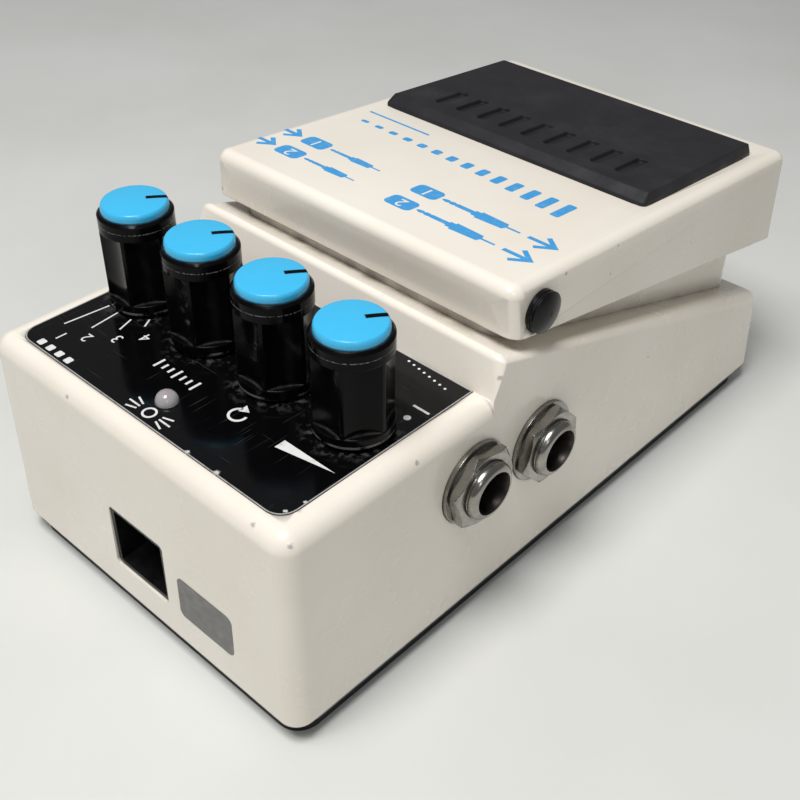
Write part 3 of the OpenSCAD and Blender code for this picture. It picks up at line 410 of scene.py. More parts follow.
def resinMaterial(name):
    look = {**resinUsual, **resinLooks[name]}
    material, tree, coords = newMaterial(name)
    worn = patches(tree, coords, look["wearMm"], low=0, high=look["scuff"], start=0.45, end=0.8)
    colour = addNode(tree, "MixRGB", {"Fac": worn, "Color1": look["colour"], "Color2": look["rubbed"]})
    hairline = patches(tree, coords, sizeMm=0.4, low=0, high=look["scuff"], start=0.70, end=0.78, detail=2.0,
                       stretch=(1.0, 1.0, 0.06))
    colour = addNode(tree, "MixRGB", {"Fac": hairline, "Color1": colour, "Color2": look["rubbed"]})
    # dust where other faces are near, on the blue caps painted shade
    dusty = shadeAndDirtIn(tree, coords, look["dustAndShadeReachMm"], look["dustAndShadeAmount"], patchMm=0.9)
    colour = addNode(tree, "MixRGB", {"Fac": dusty, "Color1": colour, "Color2": look["dust"]})
    height = addNode(tree, "SeparateXYZ", {"Vector": coords}, "Z")
    # pale bands in the dust colour: a painted highlight along the cap seam, dust and wear round the foot
    for level, halfMm, amount, patchMm in look["bands"]:
        inBand = addNode(tree, "Math", {0: height, 1: level, 2: halfMm * mm}, operation="COMPARE")
        dotted = patches(tree, coords, patchMm, low=0, high=amount, start=0.44, end=0.56)
        band = addNode(tree, "Math", {0: inBand, 1: dotted}, operation="MULTIPLY")
        colour = addNode(tree, "MixRGB", {"Fac": band, "Color1": colour, "Color2": look["dust"]})
    polish = patches(tree, coords, look["smearMm"], *look["roughness"])
    gloss = addNode(tree, "BsdfPrincipled", {
        "Base Color": colour, "IOR": 1.53, "Specular IOR Level": look["shine"],
        "Roughness": addNode(tree, "Math", {0: dusty, 1: 0.5, 2: polish}, operation="MULTIPLY_ADD"),
        "Normal": relief(tree, coords, look["grainMm"], look["grainHeightMm"], look["edgeMm"]),
    })
    addNode(tree, "OutputMaterial", {"Surface": gloss})
    return material


# plated and plain steel: nickel rubbed satin by plugs, painted shade and dirt in its corners, drawn wire,
# rolled sheet
metalLooks = {
    "wornNickel": {
        "colour": "#A6A39D", "worn": "#8B8780", "shadeAndDirt": "#2E2822", "roughness": (0.16, 0.28), "lineMm": 0.5,
        "lines": (1.0, 0.1, 1.0), "lineHeightMm": 0.002, "edgeMm": 0.14, "shadeAndDirtMm": 0.7, "shadeAndDirtAmount": 0.7,
    },
    # the bore's inside, a dark metal painted as shade, darker still where faces are near
    "shadedBore": {
        "colour": "#4A4643", "worn": "#33302E", "shadeAndDirt": "#0A0908", "roughness": (0.34, 0.50), "lineMm": 0.5,
        "lines": (0.1, 1.0, 1.0), "lineHeightMm": 0.002, "edgeMm": 0.1, "shadeAndDirtMm": 1.0, "shadeAndDirtAmount": 0.9,
    },
    "drawnSteel": {
        "colour": "#A6A8AB", "worn": "#86888C", "shadeAndDirt": "#4A4038", "roughness": (0.26, 0.42), "lineMm": 0.3,
        "lines": (0.1, 1.0, 1.0), "lineHeightMm": 0.004, "edgeMm": 0.12, "shadeAndDirtMm": 1.0, "shadeAndDirtAmount": 0.5,
    },
    "rolledSteelSheet": {
        "colour": "#8E9093", "worn": "#787A7E", "shadeAndDirt": "#4A4038", "roughness": (0.34, 0.52), "lineMm": 0.4,
        "lines": (1.0, 0.05, 1.0), "lineHeightMm": 0.004, "edgeMm": 0.2, "shadeAndDirtMm": 1.5, "shadeAndDirtAmount": 0.5,
    },
}


def metalMaterial(name):
    look = metalLooks[name]
    material, tree, coords = newMaterial(name)
    dulled = patches(tree, coords, sizeMm=3.0, low=0, high=1, start=0.4, end=0.7)
    colour = addNode(tree, "MixRGB", {"Fac": dulled, "Color1": look["colour"], "Color2": look["worn"]})
    # painted shade and dirt where other faces are near, which also takes the metal's sheen away
    shadedAndDirty = shadeAndDirtIn(tree, coords, look["shadeAndDirtMm"], look["shadeAndDirtAmount"], patchMm=0.8)
    colour = addNode(tree, "MixRGB", {"Fac": shadedAndDirty, "Color1": colour, "Color2": look["shadeAndDirt"]})
    smearMm = 1.5
    polish = patches(tree, coords, smearMm, *look["roughness"])
    gloss = addNode(tree, "BsdfPrincipled", {
        "Base Color": colour,
        "Metallic": addNode(tree, "Math", {0: shadedAndDirty, 1: -0.6, 2: 1.0}, operation="MULTIPLY_ADD"),
        "Roughness": addNode(tree, "Math", {0: shadedAndDirty, 1: 0.3, 2: polish}, operation="MULTIPLY_ADD"),
        "Normal": relief(tree, coords, look["lineMm"], look["lineHeightMm"], look["edgeMm"], look["lines"]),
    })
    addNode(tree, "OutputMaterial", {"Surface": gloss})
    return material


# moulded nitrile rubber: charcoal, dull, fine pebble from the mould, pale dust rubbed into it
rubberLook = {
    "charcoal": "#141317", "rubbed": "#1C1B1F", "dust": "#484645", "rubMm": 6, "pebbleMm": 0.3,
    "pebbleHeightMm": 0.012, "edgeMm": 0.25, "dustPatchMm": 11, "dustGrainMm": 0.4,
    "roughness": (0.52, 0.70), "smearMm": 4,
}


def rubberMaterial():
    look = rubberLook
    material, tree, coords = newMaterial("mouldedRubber")
    rubbed = patches(tree, coords, look["rubMm"], low=0, high=1, start=0.4, end=0.7)
    colour = addNode(tree, "MixRGB", {"Fac": rubbed, "Color1": look["charcoal"], "Color2": look["rubbed"]})
    broad = patches(tree, coords, look["dustPatchMm"], low=0, high=0.35, start=0.5, end=0.8)
    grains = patches(tree, coords, look["dustGrainMm"], low=0.2, high=1)
    dusty = addNode(tree, "Math", {0: broad, 1: grains}, operation="MULTIPLY")
    colour = addNode(tree, "MixRGB", {"Fac": dusty, "Color1": colour, "Color2": look["dust"]})
    dull = addNode(tree, "BsdfPrincipled", {
        "Base Color": colour, "Roughness": patches(tree, coords, look["smearMm"], *look["roughness"]),
        "IOR": 1.52, "Specular IOR Level": 0.35, "Sheen Weight": 0.04, "Sheen Roughness": 0.5,
        "Normal": relief(tree, coords, look["pebbleMm"], look["pebbleHeightMm"], look["edgeMm"]),
    })
    addNode(tree, "OutputMaterial", {"Surface": dull})
    return material


# cast epoxy lamp: milky clear dome, a little pink from the die inside, soft highlights
lampLook = {
    "clear": "#D0CECF", "die": "#C2AEB1", "dieMm": 1.7, "dieDeepMm": 1.2, "dieAmount": 0.7,
    "roughness": (0.08, 0.2), "smearMm": 1.0,
}


def lampMaterial():
    look = lampLook
    low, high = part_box("status_led")
    material, tree, coords = newMaterial("milkyEpoxy")
    middle = Vector(((low.x + high.x) / 2, (low.y + high.y) / 2, high.z - look["dieDeepMm"] * mm))
    heart = spotAt(tree, coords, middle, look["dieMm"], look["dieAmount"])
    gloss = addNode(tree, "BsdfPrincipled", {
        "Base Color": addNode(tree, "MixRGB", {
            "Fac": heart, "Color1": look["clear"], "Color2": look["die"],
        }),
        "Roughness": patches(tree, coords, look["smearMm"], *look["roughness"]),
        "IOR": 1.54, "Transmission Weight": 0.45,
        "Normal": relief(tree, coords, grainMm=0.8, heightMm=0.003, edgeMm=0.1),
    })
    addNode(tree, "OutputMaterial", {"Surface": gloss})
    return material


# fibreglass board under solder mask: green over paler copper runs, glossy
boardLook = {
    "mask": "#1E5B3A", "copper": "#2C7A4C", "bare": "#173F2B", "runMm": 2.2, "filmMm": 5,
    "roughness": (0.22, 0.36), "smearMm": 2,
}


def boardMaterial():
    look = boardLook
    material, tree, coords = newMaterial("solderMaskBoard")
    runs = addNode(tree, "TexBrick", {
        "Vector": coords, "Color1": look["copper"], "Color2": look["mask"], "Mortar": look["bare"],
        "Scale": 1 / (look["runMm"] * mm), "Mortar Size": 0.08,
    })
    film = patches(tree, coords, look["filmMm"], low=0, high=0.5)
    gloss = addNode(tree, "BsdfPrincipled", {
        "Base Color": addNode(tree, "MixRGB", {"Fac": film, "Color1": runs, "Color2": look["mask"]}),
        "Roughness": patches(tree, coords, look["smearMm"], *look["roughness"]), "IOR": 1.55,
        "Normal": relief(tree, coords, grainMm=1.0, heightMm=0.01, edgeMm=0.1),
    })
    addNode(tree, "OutputMaterial", {"Surface": gloss})
    return material


# screen print, label foil and the sheet's cut edge, whose pale line is a painted highlight: thin films,
# uneven and worn through in small spots
filmLooks = {
    "blueInk": {"film": "#3F97D3", "thin": "#66AEDD", "roughness": (0.34, 0.46)},
    "ivoryInk": {"film": "#EAE4D9", "thin": "#CFCDC9", "roughness": (0.34, 0.46)},
    "whiteInk": {"film": "#DCDCD9", "thin": "#9A9A98", "roughness": (0.34, 0.50)},
    "greyFoil": {"film": "#6C6B69", "thin": "#85837F", "roughness": (0.38, 0.54)},
    # a pale film as the painted highlight of the clear sheet's cut edge
    "paintedCutEdgeHighlight": {"film": "#A3A2A0", "thin": "#4A4948", "roughness": (0.30, 0.50)},
}


def filmMaterial(name):
    look = filmLooks[name]
    material, tree, coords = newMaterial(name)
    broad = patches(tree, coords, sizeMm=1.3, low=0, high=0.8, start=0.5, end=0.75)
    fine = patches(tree, coords, sizeMm=0.3, low=0.3, high=1)
    thin = addNode(tree, "Math", {0: broad, 1: fine}, operation="MULTIPLY")
    smearMm = 1.5
    gloss = addNode(tree, "BsdfPrincipled", {
        "Base Color": addNode(tree, "MixRGB", {
            "Fac": thin, "Color1": look["film"], "Color2": look["thin"],
        }),
        "Roughness": patches(tree, coords, smearMm, *look["roughness"]), "IOR": 1.5,
        "Normal": relief(tree, coords, grainMm=0.5, heightMm=0.002, edgeMm=0.03),
    })
    addNode(tree, "OutputMaterial", {"Surface": gloss})
    return material


finishes = {
    "polishedBlackNylon": ["hinge_cap_left", "hinge_cap_right"],
    "blackNylon": ["thumbscrew_grip", "guide_bush", "foot_switch", "battery_snap", "power_socket",
                   "output_jack_1", "output_jack_2", "input_jack_1", "input_jack_2"],
    "whiteAcetal": ["switch_plunger"],
    "batteryJacket": ["battery"],
    "chipResin": ["board_chips"],
    "glossyBlackAbs": [control + "_knob" for control in controls],
    "skyBlueAbs": [control + "_cap" for control in controls],
    "greyPotHousing": [control + "_pot" for control in controls],
    "drawnSteel": ["hinge_shaft", "thumbscrew_shank"] + [control + "_shaft" for control in controls],
    "wornNickel": ["bottom_screws", "pot_nuts", "jack_washers", "power_pin", "board_screws"],
    "rolledSteelSheet": ["bottom_plate"],
    "mouldedRubber": ["base_mat"],
    "blackPolyesterSheet": ["panel_sheet"],
    "milkyEpoxy": ["status_led"],
    "solderMaskBoard": ["main_board", "control_board"],
}
made = {name: resinMaterial(name) for name in resinLooks}
made.update({name: metalMaterial(name) for name in metalLooks})
made.update({name: filmMaterial(name) for name in filmLooks})
made["mouldedRubber"] = rubberMaterial()
made["blackPolyesterSheet"] = sheetMaterial()
made["milkyEpoxy"] = lampMaterial()
made["solderMaskBoard"] = boardMaterial()
for node in enamelChips:
    made["ivoryEnamel." + node] = enamelMaterial(node)
    finishes["ivoryEnamel." + node] = [node]
for finish, dressed in finishes.items():
    for node in dressed:
        surface = castings.get(node, nodes[node])
        surface.data.materials.clear()
        surface.data.materials.append(made[finish])
print("materials on the CAD nodes and castings done")


# threaded jack sleeves: rolled thread up to a groove, smooth round nose, bore painted dark as shade past its
# flared mouth
sleeveShape = {
    "pitchMm": 0.75, "threadMm": 0.28, "boreMm": 3.25, "noseMm": 1.1, "grooveMm": 0.25, "flareMm": 0.35,
    "flareDeepMm": 0.6, "noseSteps": 6, "sides": 72, "stepMm": 0.125, "sharpDeg": 50,
}


# the sleeve's own frame, Z outward from its inner end, and its side of the case
def sleeveFrame(node):
    low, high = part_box(node)
    side = 1 if low.x > 0 else -1
    start = low.x if side > 0 else high.x
    place = Matrix.Translation((start, (low.y + high.y) / 2, (low.z + high.z) / 2))
    return place @ Matrix.Rotation(side * tau / 4, 4, "Y"), side


def sleeveMesh(node):
    shape = sleeveShape
    low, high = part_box(node)
    length = high.x - low.x
    radius = (high.y - low.y) / 2
    place = sleeveFrame(node)[0]
    bm = bmesh.new()
    pitch = shape["pitchMm"] * mm
    nose = shape["noseMm"] * mm
    groove = shape["grooveMm"] * mm
    threaded = length - nose - groove
    steps = math.ceil(threaded / (shape["stepMm"] * mm))
    rings = []
    for k in range(steps + 1):
        z = k / steps * threaded
        ring = circleRing(bm, place, radius, z, shape["sides"])
        for i, vert in enumerate(ring):
            phase = (z / pitch - i / shape["sides"]) % 1.0
            inward = (place @ Vector((0, 0, z)) - vert.co).normalized()
            vert.co += inward * shape["threadMm"] * mm * (1 - abs(2 * phase - 1))
        rings.append(ring)
    bore = shape["boreMm"] * mm
    mouth = bore + shape["flareMm"] * mm
    profile = [(radius - groove, threaded), (radius - groove, length - nose)]
    for k in range(shape["noseSteps"] + 1):
        turn = tau / 4 * k / shape["noseSteps"]
        reach = mouth + (radius - mouth) * math.cos(turn)
        profile.append((reach, length - nose + nose * math.sin(turn)))
    mouthRing = len(rings) + len(profile) - 1
    profile += [(bore, length - shape["flareDeepMm"] * mm), (bore, 0.0)]
    for ringRadius, z in profile:
        rings.append(circleRing(bm, place, ringRadius, z, shape["sides"]))
    joinRings(bm, rings, closed=True, secondFrom=mouthRing)
    return bm


for node in jackSleeves:
    name = node.replace("_", "-") + "-thread"
    metals = ["wornNickel", "shadedBore"]
    thread = addPiece(name, sleeveMesh(node), metals, "case", sleeveShape["sharpDeg"])
    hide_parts(node)

# thin hexagon nuts with turned chamfers on both faces, each stopped at its own angle
nutShape = {
    "acrossFlatsMm": 11.9, "thickMm": 2.0, "chamferMm": 0.55, "chamferParts": (0, 0.1, 0.25, 0.45, 0.7, 1.0),
    "chamferRun": 1.7, "coneStart": 1.005, "sides": 96, "boreMm": 4.78, "turnDeg": [17.0, 45.0, 34.0, 8.0],
    "sharpDeg": 20,
}
nuts = bmesh.new()
nutLow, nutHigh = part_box("jack_nuts")
thick = nutShape["thickMm"] * mm
flat = nutShape["acrossFlatsMm"] * mm / 2
sides = nutShape["sides"]
nearFace = [nutShape["chamferMm"] * mm * part for part in nutShape["chamferParts"]]
for node, turnDeg in zip(jackSleeves, nutShape["turnDeg"]):
    place, side = sleeveFrame(node)
    corner = math.radians(-side * turnDeg)
    start = (nutHigh.x if side > 0 else -nutLow.x) - thick - abs(place.translation.x)
    rings = []
    for z in nearFace + [thick - step for step in reversed(nearFace)]:
        cone = nutShape["coneStart"] * flat + nutShape["chamferRun"] * min(z, thick - z)
        middle = place @ Vector((0, 0, start + z))
        ring = circleRing(nuts, place, 1.0, start + z, sides, corner)
        for i, vert in enumerate(ring):
            fromFlat = (tau * i / sides) % (tau / 6) - tau / 12
            vert.co = middle + (vert.co - middle) * min(flat / math.cos(fromFlat), cone)
        rings.append(ring)
    for z in (thick, 0):
        rings.append(circleRing(nuts, place, nutShape["boreMm"] * mm, start + z, sides, corner))
    joinRings(nuts, rings, closed=True)
jackNuts = addPiece("jackNutsChamfered", nuts, ["wornNickel"], "case", nutShape["sharpDeg"])
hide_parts("jack_nuts")
print("jack sleeves and nuts done")

# right hinge cap: the same stepped plug as the left one, seated lower in the treadle's skirt
capShape = {
    "seatMm": 32.5, "sleeveMm": 2.5, "flangeMm": 3.3, "flangeTopMm": 0.75, "domeMm": 0.65, "domeSteps": 6,
    "boreTopMm": 0.6, "boreClearMm": 0.02, "tipMm": 0.005, "sides": 64, "sharpDeg": 45,
}
capLow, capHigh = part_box("hinge_cap_right")
shaftLow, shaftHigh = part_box("hinge_shaft")
capMiddle = Vector((capShape["seatMm"] * mm, (capLow.y + capHigh.y) / 2, (capLow.z + capHigh.z) / 2))
capPlace = Matrix.Translation(capMiddle) @ Matrix.Rotation(tau / 4, 4, "Y")
capEnd = capLow.x / mm - capShape["seatMm"]
boreMm = (shaftHigh.z - shaftLow.z) / 2 / mm + capShape["boreClearMm"]
boreTop = capShape["boreTopMm"]
sleeve = capShape["sleeveMm"]
flange = capShape["flangeMm"]
flangeTop = capShape["flangeTopMm"]
profile = [(0.0, boreTop), (boreMm, boreTop), (boreMm, capEnd), (sleeve, capEnd), (sleeve, 0.0)]
profile += [(flange, 0.0), (flange, flangeTop)]
for k in range(1, capShape["domeSteps"] + 1):
    turn = tau / 4 * k / capShape["domeSteps"]
    profile.append((flange * math.cos(turn), flangeTop + capShape["domeMm"] * math.sin(turn)))
cap = bmesh.new()
rings = []
for reach, z in profile:
    rings.append(circleRing(cap, capPlace, max(reach, capShape["tipMm"]) * mm, z * mm, capShape["sides"]))
joinRings(cap, rings)
cap.faces.new(rings[0])
cap.faces.new(rings[-1])
rightCap = addPiece("hingeCapRightSeated", cap, ["polishedBlackNylon"], "treadle",
                    capShape["sharpDeg"])
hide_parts("hinge_cap_right")
print("right hinge cap done")

# return spring wound from round wire, its end turns laid close
springShape = {
    "coilMm": 4.6, "wireMm": 0.55, "turns": 8, "closeMm": 1.6, "steps": 28, "sides": 12, "keep": 0.9,
    "sharpDeg": 50,
}
springLow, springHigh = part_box("return_spring")
springY = (springLow.y + springHigh.y) / 2


def springHeight(turn):
    low = springLow.z + springShape["wireMm"] * mm
    high = springHigh.z - springShape["wireMm"] * mm
    close = springShape["closeMm"] * mm
    if turn < 1:
        return low + turn * close
    if turn > springShape["turns"] - 1:
        return high - (springShape["turns"] - turn) * close
    return low + close + (turn - 1) * (high - low - 2 * close) / (springShape["turns"] - 2)


spring = bmesh.new()
rings = []
for i in range(springShape["turns"] * springShape["steps"] + 1):
    turn = i / springShape["steps"]
    ring = []
    for j in range(springShape["sides"]):
        around = tau * j / springShape["sides"]
        reach = (springShape["coilMm"] + springShape["wireMm"] * math.cos(around)) * mm
        x = reach * math.cos(tau * turn)
        y = springY + reach * math.sin(tau * turn)
        z = springHeight(turn) + springShape["wireMm"] * mm * math.sin(around)
        ring.append(spring.verts.new((x, y, z)))
    rings.append(ring)
joinRings(spring, rings)
spring.faces.new(rings[0])
spring.faces.new(rings[-1])
wire = addPiece("returnSpringWire", spring, ["drawnSteel"], "case", springShape["sharpDeg"])
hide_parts("return_spring")
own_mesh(wire)
print("return spring done")


# outline of a box with round corners, in millimetres, counter-clockwise
def roundedBox(width, length, radius, x=0.0, y=0.0, steps=6):
    points = []
    for quarter, (sx, sy) in enumerate([(1, 1), (-1, 1), (-1, -1), (1, -1)]):
        for k in range(steps + 1):
            angle = tau / 4 * (quarter + k / steps)
            cx = x + sx * (width / 2 - radius)
            cy = y + sy * (length / 2 - radius)
            points.append((cx + radius * math.cos(angle), cy + radius * math.sin(angle)))
    return points


def outlineRing(bm, place, outline, z):
    return [bm.verts.new(place @ (Vector((x, y, z)) * mm)) for x, y in outline]


# treadle pad: moulded rubber, steep sides, sloping rear face, soft edges, a front lip, a row of grip grooves
padShape = {
    "widthMm": 57.4, "lengthMm": 34.3, "sunkCornerMm": 2.5, "cornerMm": 1.0, "centreYMm": -38.1,
    "sinkMm": 0.4, "thickMm": 2.4, "lipMm": 0.9, "bevelMm": 0.5, "slopeMm": 1.6, "softMm": 0.18,
    "levels": [(0.0, 0.42), (0.0, 0.85), (0.04, 1.0), (0.14, 1.2), (0.9, 2.18), (1.0, 2.32)],
    "grooves": 9, "groovePitchMm": 5.0, "grooveWidthMm": 2.2, "grooveLengthMm": 8.0, "grooveCornerMm": 0.8,
    "grooveYMm": 8.25, "grooveLevels": [(0.3, 0.0), (0.16, 0.0), (0.04, 0.05), (0.0, 0.18), (-0.12, 0.7)],
    "sharpDeg": 35,
}
slopeCos = treadleFace.col[1].y
padMiddle = Vector((0, padShape["centreYMm"] / slopeCos, -padShape["sinkMm"]))
padPlace = treadleFace @ Matrix.Translation(padMiddle * mm)
pad = bmesh.new()
sunk = roundedBox(padShape["widthMm"], padShape["lengthMm"], padShape["sunkCornerMm"])
rings = [outlineRing(pad, padPlace, sunk, z) for z in (0.0, padShape["sinkMm"])]
raisedMm = padShape["lengthMm"] + padShape["lipMm"]
for part, z in padShape["levels"]:
    narrow = padShape["bevelMm"] * part
    shorter = (padShape["bevelMm"] + padShape["slopeMm"]) * part
    forward = (padShape["bevelMm"] - padShape["slopeMm"]) / 2 * part - padShape["lipMm"] / 2
    outline = roundedBox(padShape["widthMm"] - 2 * narrow, raisedMm - shorter, padShape["cornerMm"] - narrow,
                         0, forward)
    rings.append(outlineRing(pad, padPlace, outline, z))
for inset in (padShape["softMm"], 2 * padShape["softMm"]):  # the second ring keeps the top flat to its rim
    outline = roundedBox(padShape["widthMm"] - 2 * narrow - 2 * inset, raisedMm - shorter - 2 * inset,
                         padShape["cornerMm"] - narrow - inset, 0, forward)
    rings.append(outlineRing(pad, padPlace, outline, padShape["thickMm"]))
joinRings(pad, rings)
pad.faces.new(rings[0])
for i in range(padShape["grooves"]):
    x = (i - (padShape["grooves"] - 1) / 2) * padShape["groovePitchMm"]
    loops = []
    for wider, depth in padShape["grooveLevels"]:
        outline = roundedBox(padShape["grooveWidthMm"] + 2 * wider, padShape["grooveLengthMm"] + 2 * wider,
                             padShape["grooveCornerMm"] + wider, x, padShape["grooveYMm"])
        loops.append(outlineRing(pad, padPlace, outline, padShape["thickMm"] - depth))
    joinRings(pad, loops)
    pad.faces.new(loops[-1])
topEdges = [edge for edge in pad.edges if len(edge.link_faces) == 1]
bmesh.ops.triangle_fill(pad, edges=topEdges, use_beauty=True)
padPiece = addPiece("treadlePadMoulded", pad, ["mouldedRubber"], "treadle", padShape["sharpDeg"])
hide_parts("treadle_pad")
print("treadle pad done")

# ink films: a little below the face they lie on to a little above it, a second ink above the first
inkMm = {"under": -0.02, "over": 0.03, "second": 0.05}
fontShape = {"capShare": 0.7, "curveSteps": 6}  # a digit of the built-in font is about 0.7 of its size


def addFilm(bm, place, outline, top=inkMm["over"]):
    low = outlineRing(bm, place, outline, inkMm["under"])
    high = outlineRing(bm, place, outline, top)
    joinRings(bm, [low, high])
    bm.faces.new(low)
    bm.faces.new(high)


def addNumeral(bm, place, digit, capMm, x, y, top=inkMm["over"]):
    text = bpy.data.curves.new("numeral", "FONT")
    text.body = digit
    text.size = capMm * mm / fontShape["capShare"]
    text.align_x = "CENTER"
    text.align_y = "CENTER"
    text.resolution_u = fontShape["curveSteps"]
    text.extrude = (top - inkMm["under"]) / 2 * mm
    holder = bpy.data.objects.new("numeral", text)
    shape = holder.to_mesh()
    shape.transform(place @ Matrix.Translation(Vector((x, y, (top + inkMm["under"]) / 2)) * mm))
    bm.from_mesh(shape)
    bpy.data.objects.remove(holder)
    bpy.data.curves.remove(text)


def stroke(start, end, width):
    along = (Vector(end) - Vector(start)).normalized() * width / 2
    side = Vector((-along.y, along.x))
    return [tuple(Vector(p) + s) for p, s in ((start, side), (start, -side), (end, -side), (end, side))]


# an arrow with open barbs, tip at one point and tail at the other
def arrowOutline(tip, tail, barbLong, barbWide, width):
    length = (Vector(tail) - Vector(tip)).length
    barb = Vector((barbLong, barbWide)).normalized()
    end = Vector((barbLong, barbWide))
    back = end + Vector((barb.y, -barb.x)) * width
    crook = back + barb * ((width / 2 - back.y) / barb.y)
    half = [Vector((0, 0)), end, back, crook, Vector((length, width / 2))]
    outline = half + [Vector((p.x, -p.y)) for p in reversed(half[1:])]
    ax, ay = (Vector(tail) - Vector(tip)).normalized()
    return [(tip[0] + p.x * ax - p.y * ay, tip[1] + p.x * ay + p.y * ax) for p in outline]


# half outline of a phone plug from cable to tip, as lengths and half heights
plugProfile = [
    (0, 0.22), (2.6, 0.22), (2.9, 1.0), (8.2, 1.25), (8.2, 0.85), (9.2, 0.85), (9.2, 0.5), (12.6, 0.5),
    (12.8, 0.32), (13.1, 0.5), (13.7, 0.5), (14.1, 0.28), (14.5, 0.5), (15.3, 0.3), (15.6, 0.08),
]


def plugOutline(x, y, scale):
    upper = [(x + scale * along, y + scale * half) for along, half in plugProfile]
    return upper + [(px, 2 * y - py) for px, py in reversed(upper)]


# blue print on the treadle: arrow, numbered badge and plug for each jack, fading echo bars, a thin rule
treadlePrint = {
    "rowsMm": [(1.9, "1"), (8.0, "2")], "arrowMm": 0.85,
    "outArrow": (-28.7, -23.0), "outBarbMm": (3.0, 2.4), "inArrow": (26.7, 31.0), "inBarbMm": (2.6, 2.2),
    "badgeMm": (5.4, 3.6, 1.0), "outBadgeX": -2.6, "inBadgeX": 23.1, "numeralMm": 2.5,
    "outPlugX": -21.4, "inPlugX": 8.0, "outPlugScale": 1.0, "inPlugScale": 0.75,
    "barsStartX": -21.0, "barsPitchMm": 3.55, "bars": 14, "barMm": 1.7, "barCornerMm": 0.4,
    "barTallMm": 5.6, "barFade": 0.87, "barsFootY": -12.6,
    "ruleX": (13.5, 28.0), "ruleY": -16.4, "ruleMm": 0.5,
}
show = treadlePrint
blue = bmesh.new()
ivory = bmesh.new()
for y, digit in show["rowsMm"]:
    for way in ("out", "in"):
        tip, tail = show[way + "Arrow"]
        arrow = arrowOutline((tip, y), (tail, y), *show[way + "BarbMm"], show["arrowMm"])
        addFilm(blue, treadleFace, arrow)
    for way in ("out", "in"):
        x = show[way + "BadgeX"]
        addFilm(blue, treadleFace, roundedBox(*show["badgeMm"], x, y))
        addNumeral(ivory, treadleFace, digit, show["numeralMm"], x, y, inkMm["second"])
    for way in ("out", "in"):
        addFilm(blue, treadleFace, plugOutline(show[way + "PlugX"], y, show[way + "PlugScale"]))
for i in range(show["bars"]):
    tall = show["barTallMm"] * show["barFade"] ** i
    x = show["barsStartX"] + i * show["barsPitchMm"]
    bar = roundedBox(show["barMm"], tall, show["barCornerMm"], x, show["barsFootY"] + tall / 2)
    addFilm(blue, treadleFace, bar)
ruleLeft, ruleRight = show["ruleX"]
addFilm(blue, treadleFace, stroke((ruleLeft, show["ruleY"]), (ruleRight, show["ruleY"]), show["ruleMm"]))
addPiece("treadlePrintBlue", blue, ["blueInk"], "treadle")
addPiece("treadlePrintIvory", ivory, ["ivoryInk"], "treadle")

# white print on the panel: ramp, turning arrow, ticks and squares for the controls, a ring with rays for the
# lamp, a fan of numbers, a dot, a dash and a row of dots
panelPrint = {
    "inkMm": 0.42, "ramp": (-28.4, -18.6, 48.2, 1.9),
    "loop": (-9.7, 49.0, 1.35), "loopTurns": (-0.2, 0.55),
    "loopHead": [(-1.25, -0.15), (0.25, -1.0), (0.2, 0.7)],
    "ticks": (-0.2, 8.2, 49.0, 7), "tickHalfMm": (1.1, 0.65, 0.65),
    "squares": (18.4, 25.4, 58.0, 4), "squareMm": (1.3, 1.3, 0.25),
    "ring": (-0.4, 57.3, 1.0), "ringMm": 0.35, "ringTurns": 0.999,
    "rayRises": (-0.6, 0, 0.6), "rayFrom": 2.2, "rayLong": 2.4, "rayMm": 0.3,
    "leaders": [((27.1, 52.9), (26.3, 45.0)), ((23.1, 50.6), (23.7, 45.2)), ((19.6, 47.9), (20.6, 45.0)),
                ((17.5, 44.7), (18.5, 43.0))],
    "leaderMm": 0.28,
    "numbers": [("1", 24.6, 55.0), ("2", 21.4, 52.6), ("3", 17.8, 49.6), ("4", 14.9, 46.4)],
    "numberMm": 2.0,
    "dot": (-27.3, 33.0, 0.55), "dotSides": 24, "minus": ((-26.0, 30.3), (-29.0, 30.3)),
    "dotRow": ((-26.7, 24.3), (-18.3, 22.9), 8, 0.22), "dotRowSides": 12,
}
show = panelPrint
bareY = 30
panelFace = faceFrame(nodes["panel_sheet"], (0, bareY, 80), down, rightward)
panelFace = Matrix.Translation(Vector((0, -bareY, 0)) * mm) @ panelFace
white = bmesh.new()


def arcPoints(x, y, radius, start, end, steps=24):
    angles = [start + (end - start) * k / steps for k in range(steps + 1)]
    return [(x + radius * math.cos(a), y + radius * math.sin(a)) for a in angles]


def arcBand(x, y, radius, width, start, end):
    inside = arcPoints(x, y, radius - width / 2, start, end)
    return arcPoints(x, y, radius + width / 2, start, end) + inside[::-1]


def discPoints(x, y, radius, sides):
    return arcPoints(x, y, radius, 0, tau * (sides - 1) / sides, sides - 1)


left, right, foot, tall = show["ramp"]
addFilm(white, panelFace, [(left, foot), (right, foot), (right, foot + tall)])
x, y, radius = show["loop"]
start, end = [turn * tau for turn in show["loopTurns"]]
addFilm(white, panelFace, arcBand(x, y, radius, show["inkMm"], start, end))
tipX = x + radius * math.cos(start)
tipY = y + radius * math.sin(start)
addFilm(white, panelFace, [(tipX + headX, tipY + headY) for headX, headY in show["loopHead"]])
left, right, middle, count = show["ticks"]
for k in range(count):
    x = left + (right - left) * k / (count - 1)
    tall = show["tickHalfMm"][k % len(show["tickHalfMm"])]
    addFilm(white, panelFace, stroke((x, middle - tall), (x, middle + tall), show["inkMm"]))
left, right, middle, count = show["squares"]
for k in range(count):
    x = left + (right - left) * k / (count - 1)
    addFilm(white, panelFace, roundedBox(*show["squareMm"], x, middle))
x, y, radius = show["ring"]
addFilm(white, panelFace, arcBand(x, y, radius, show["ringMm"], 0.0, show["ringTurns"] * tau))
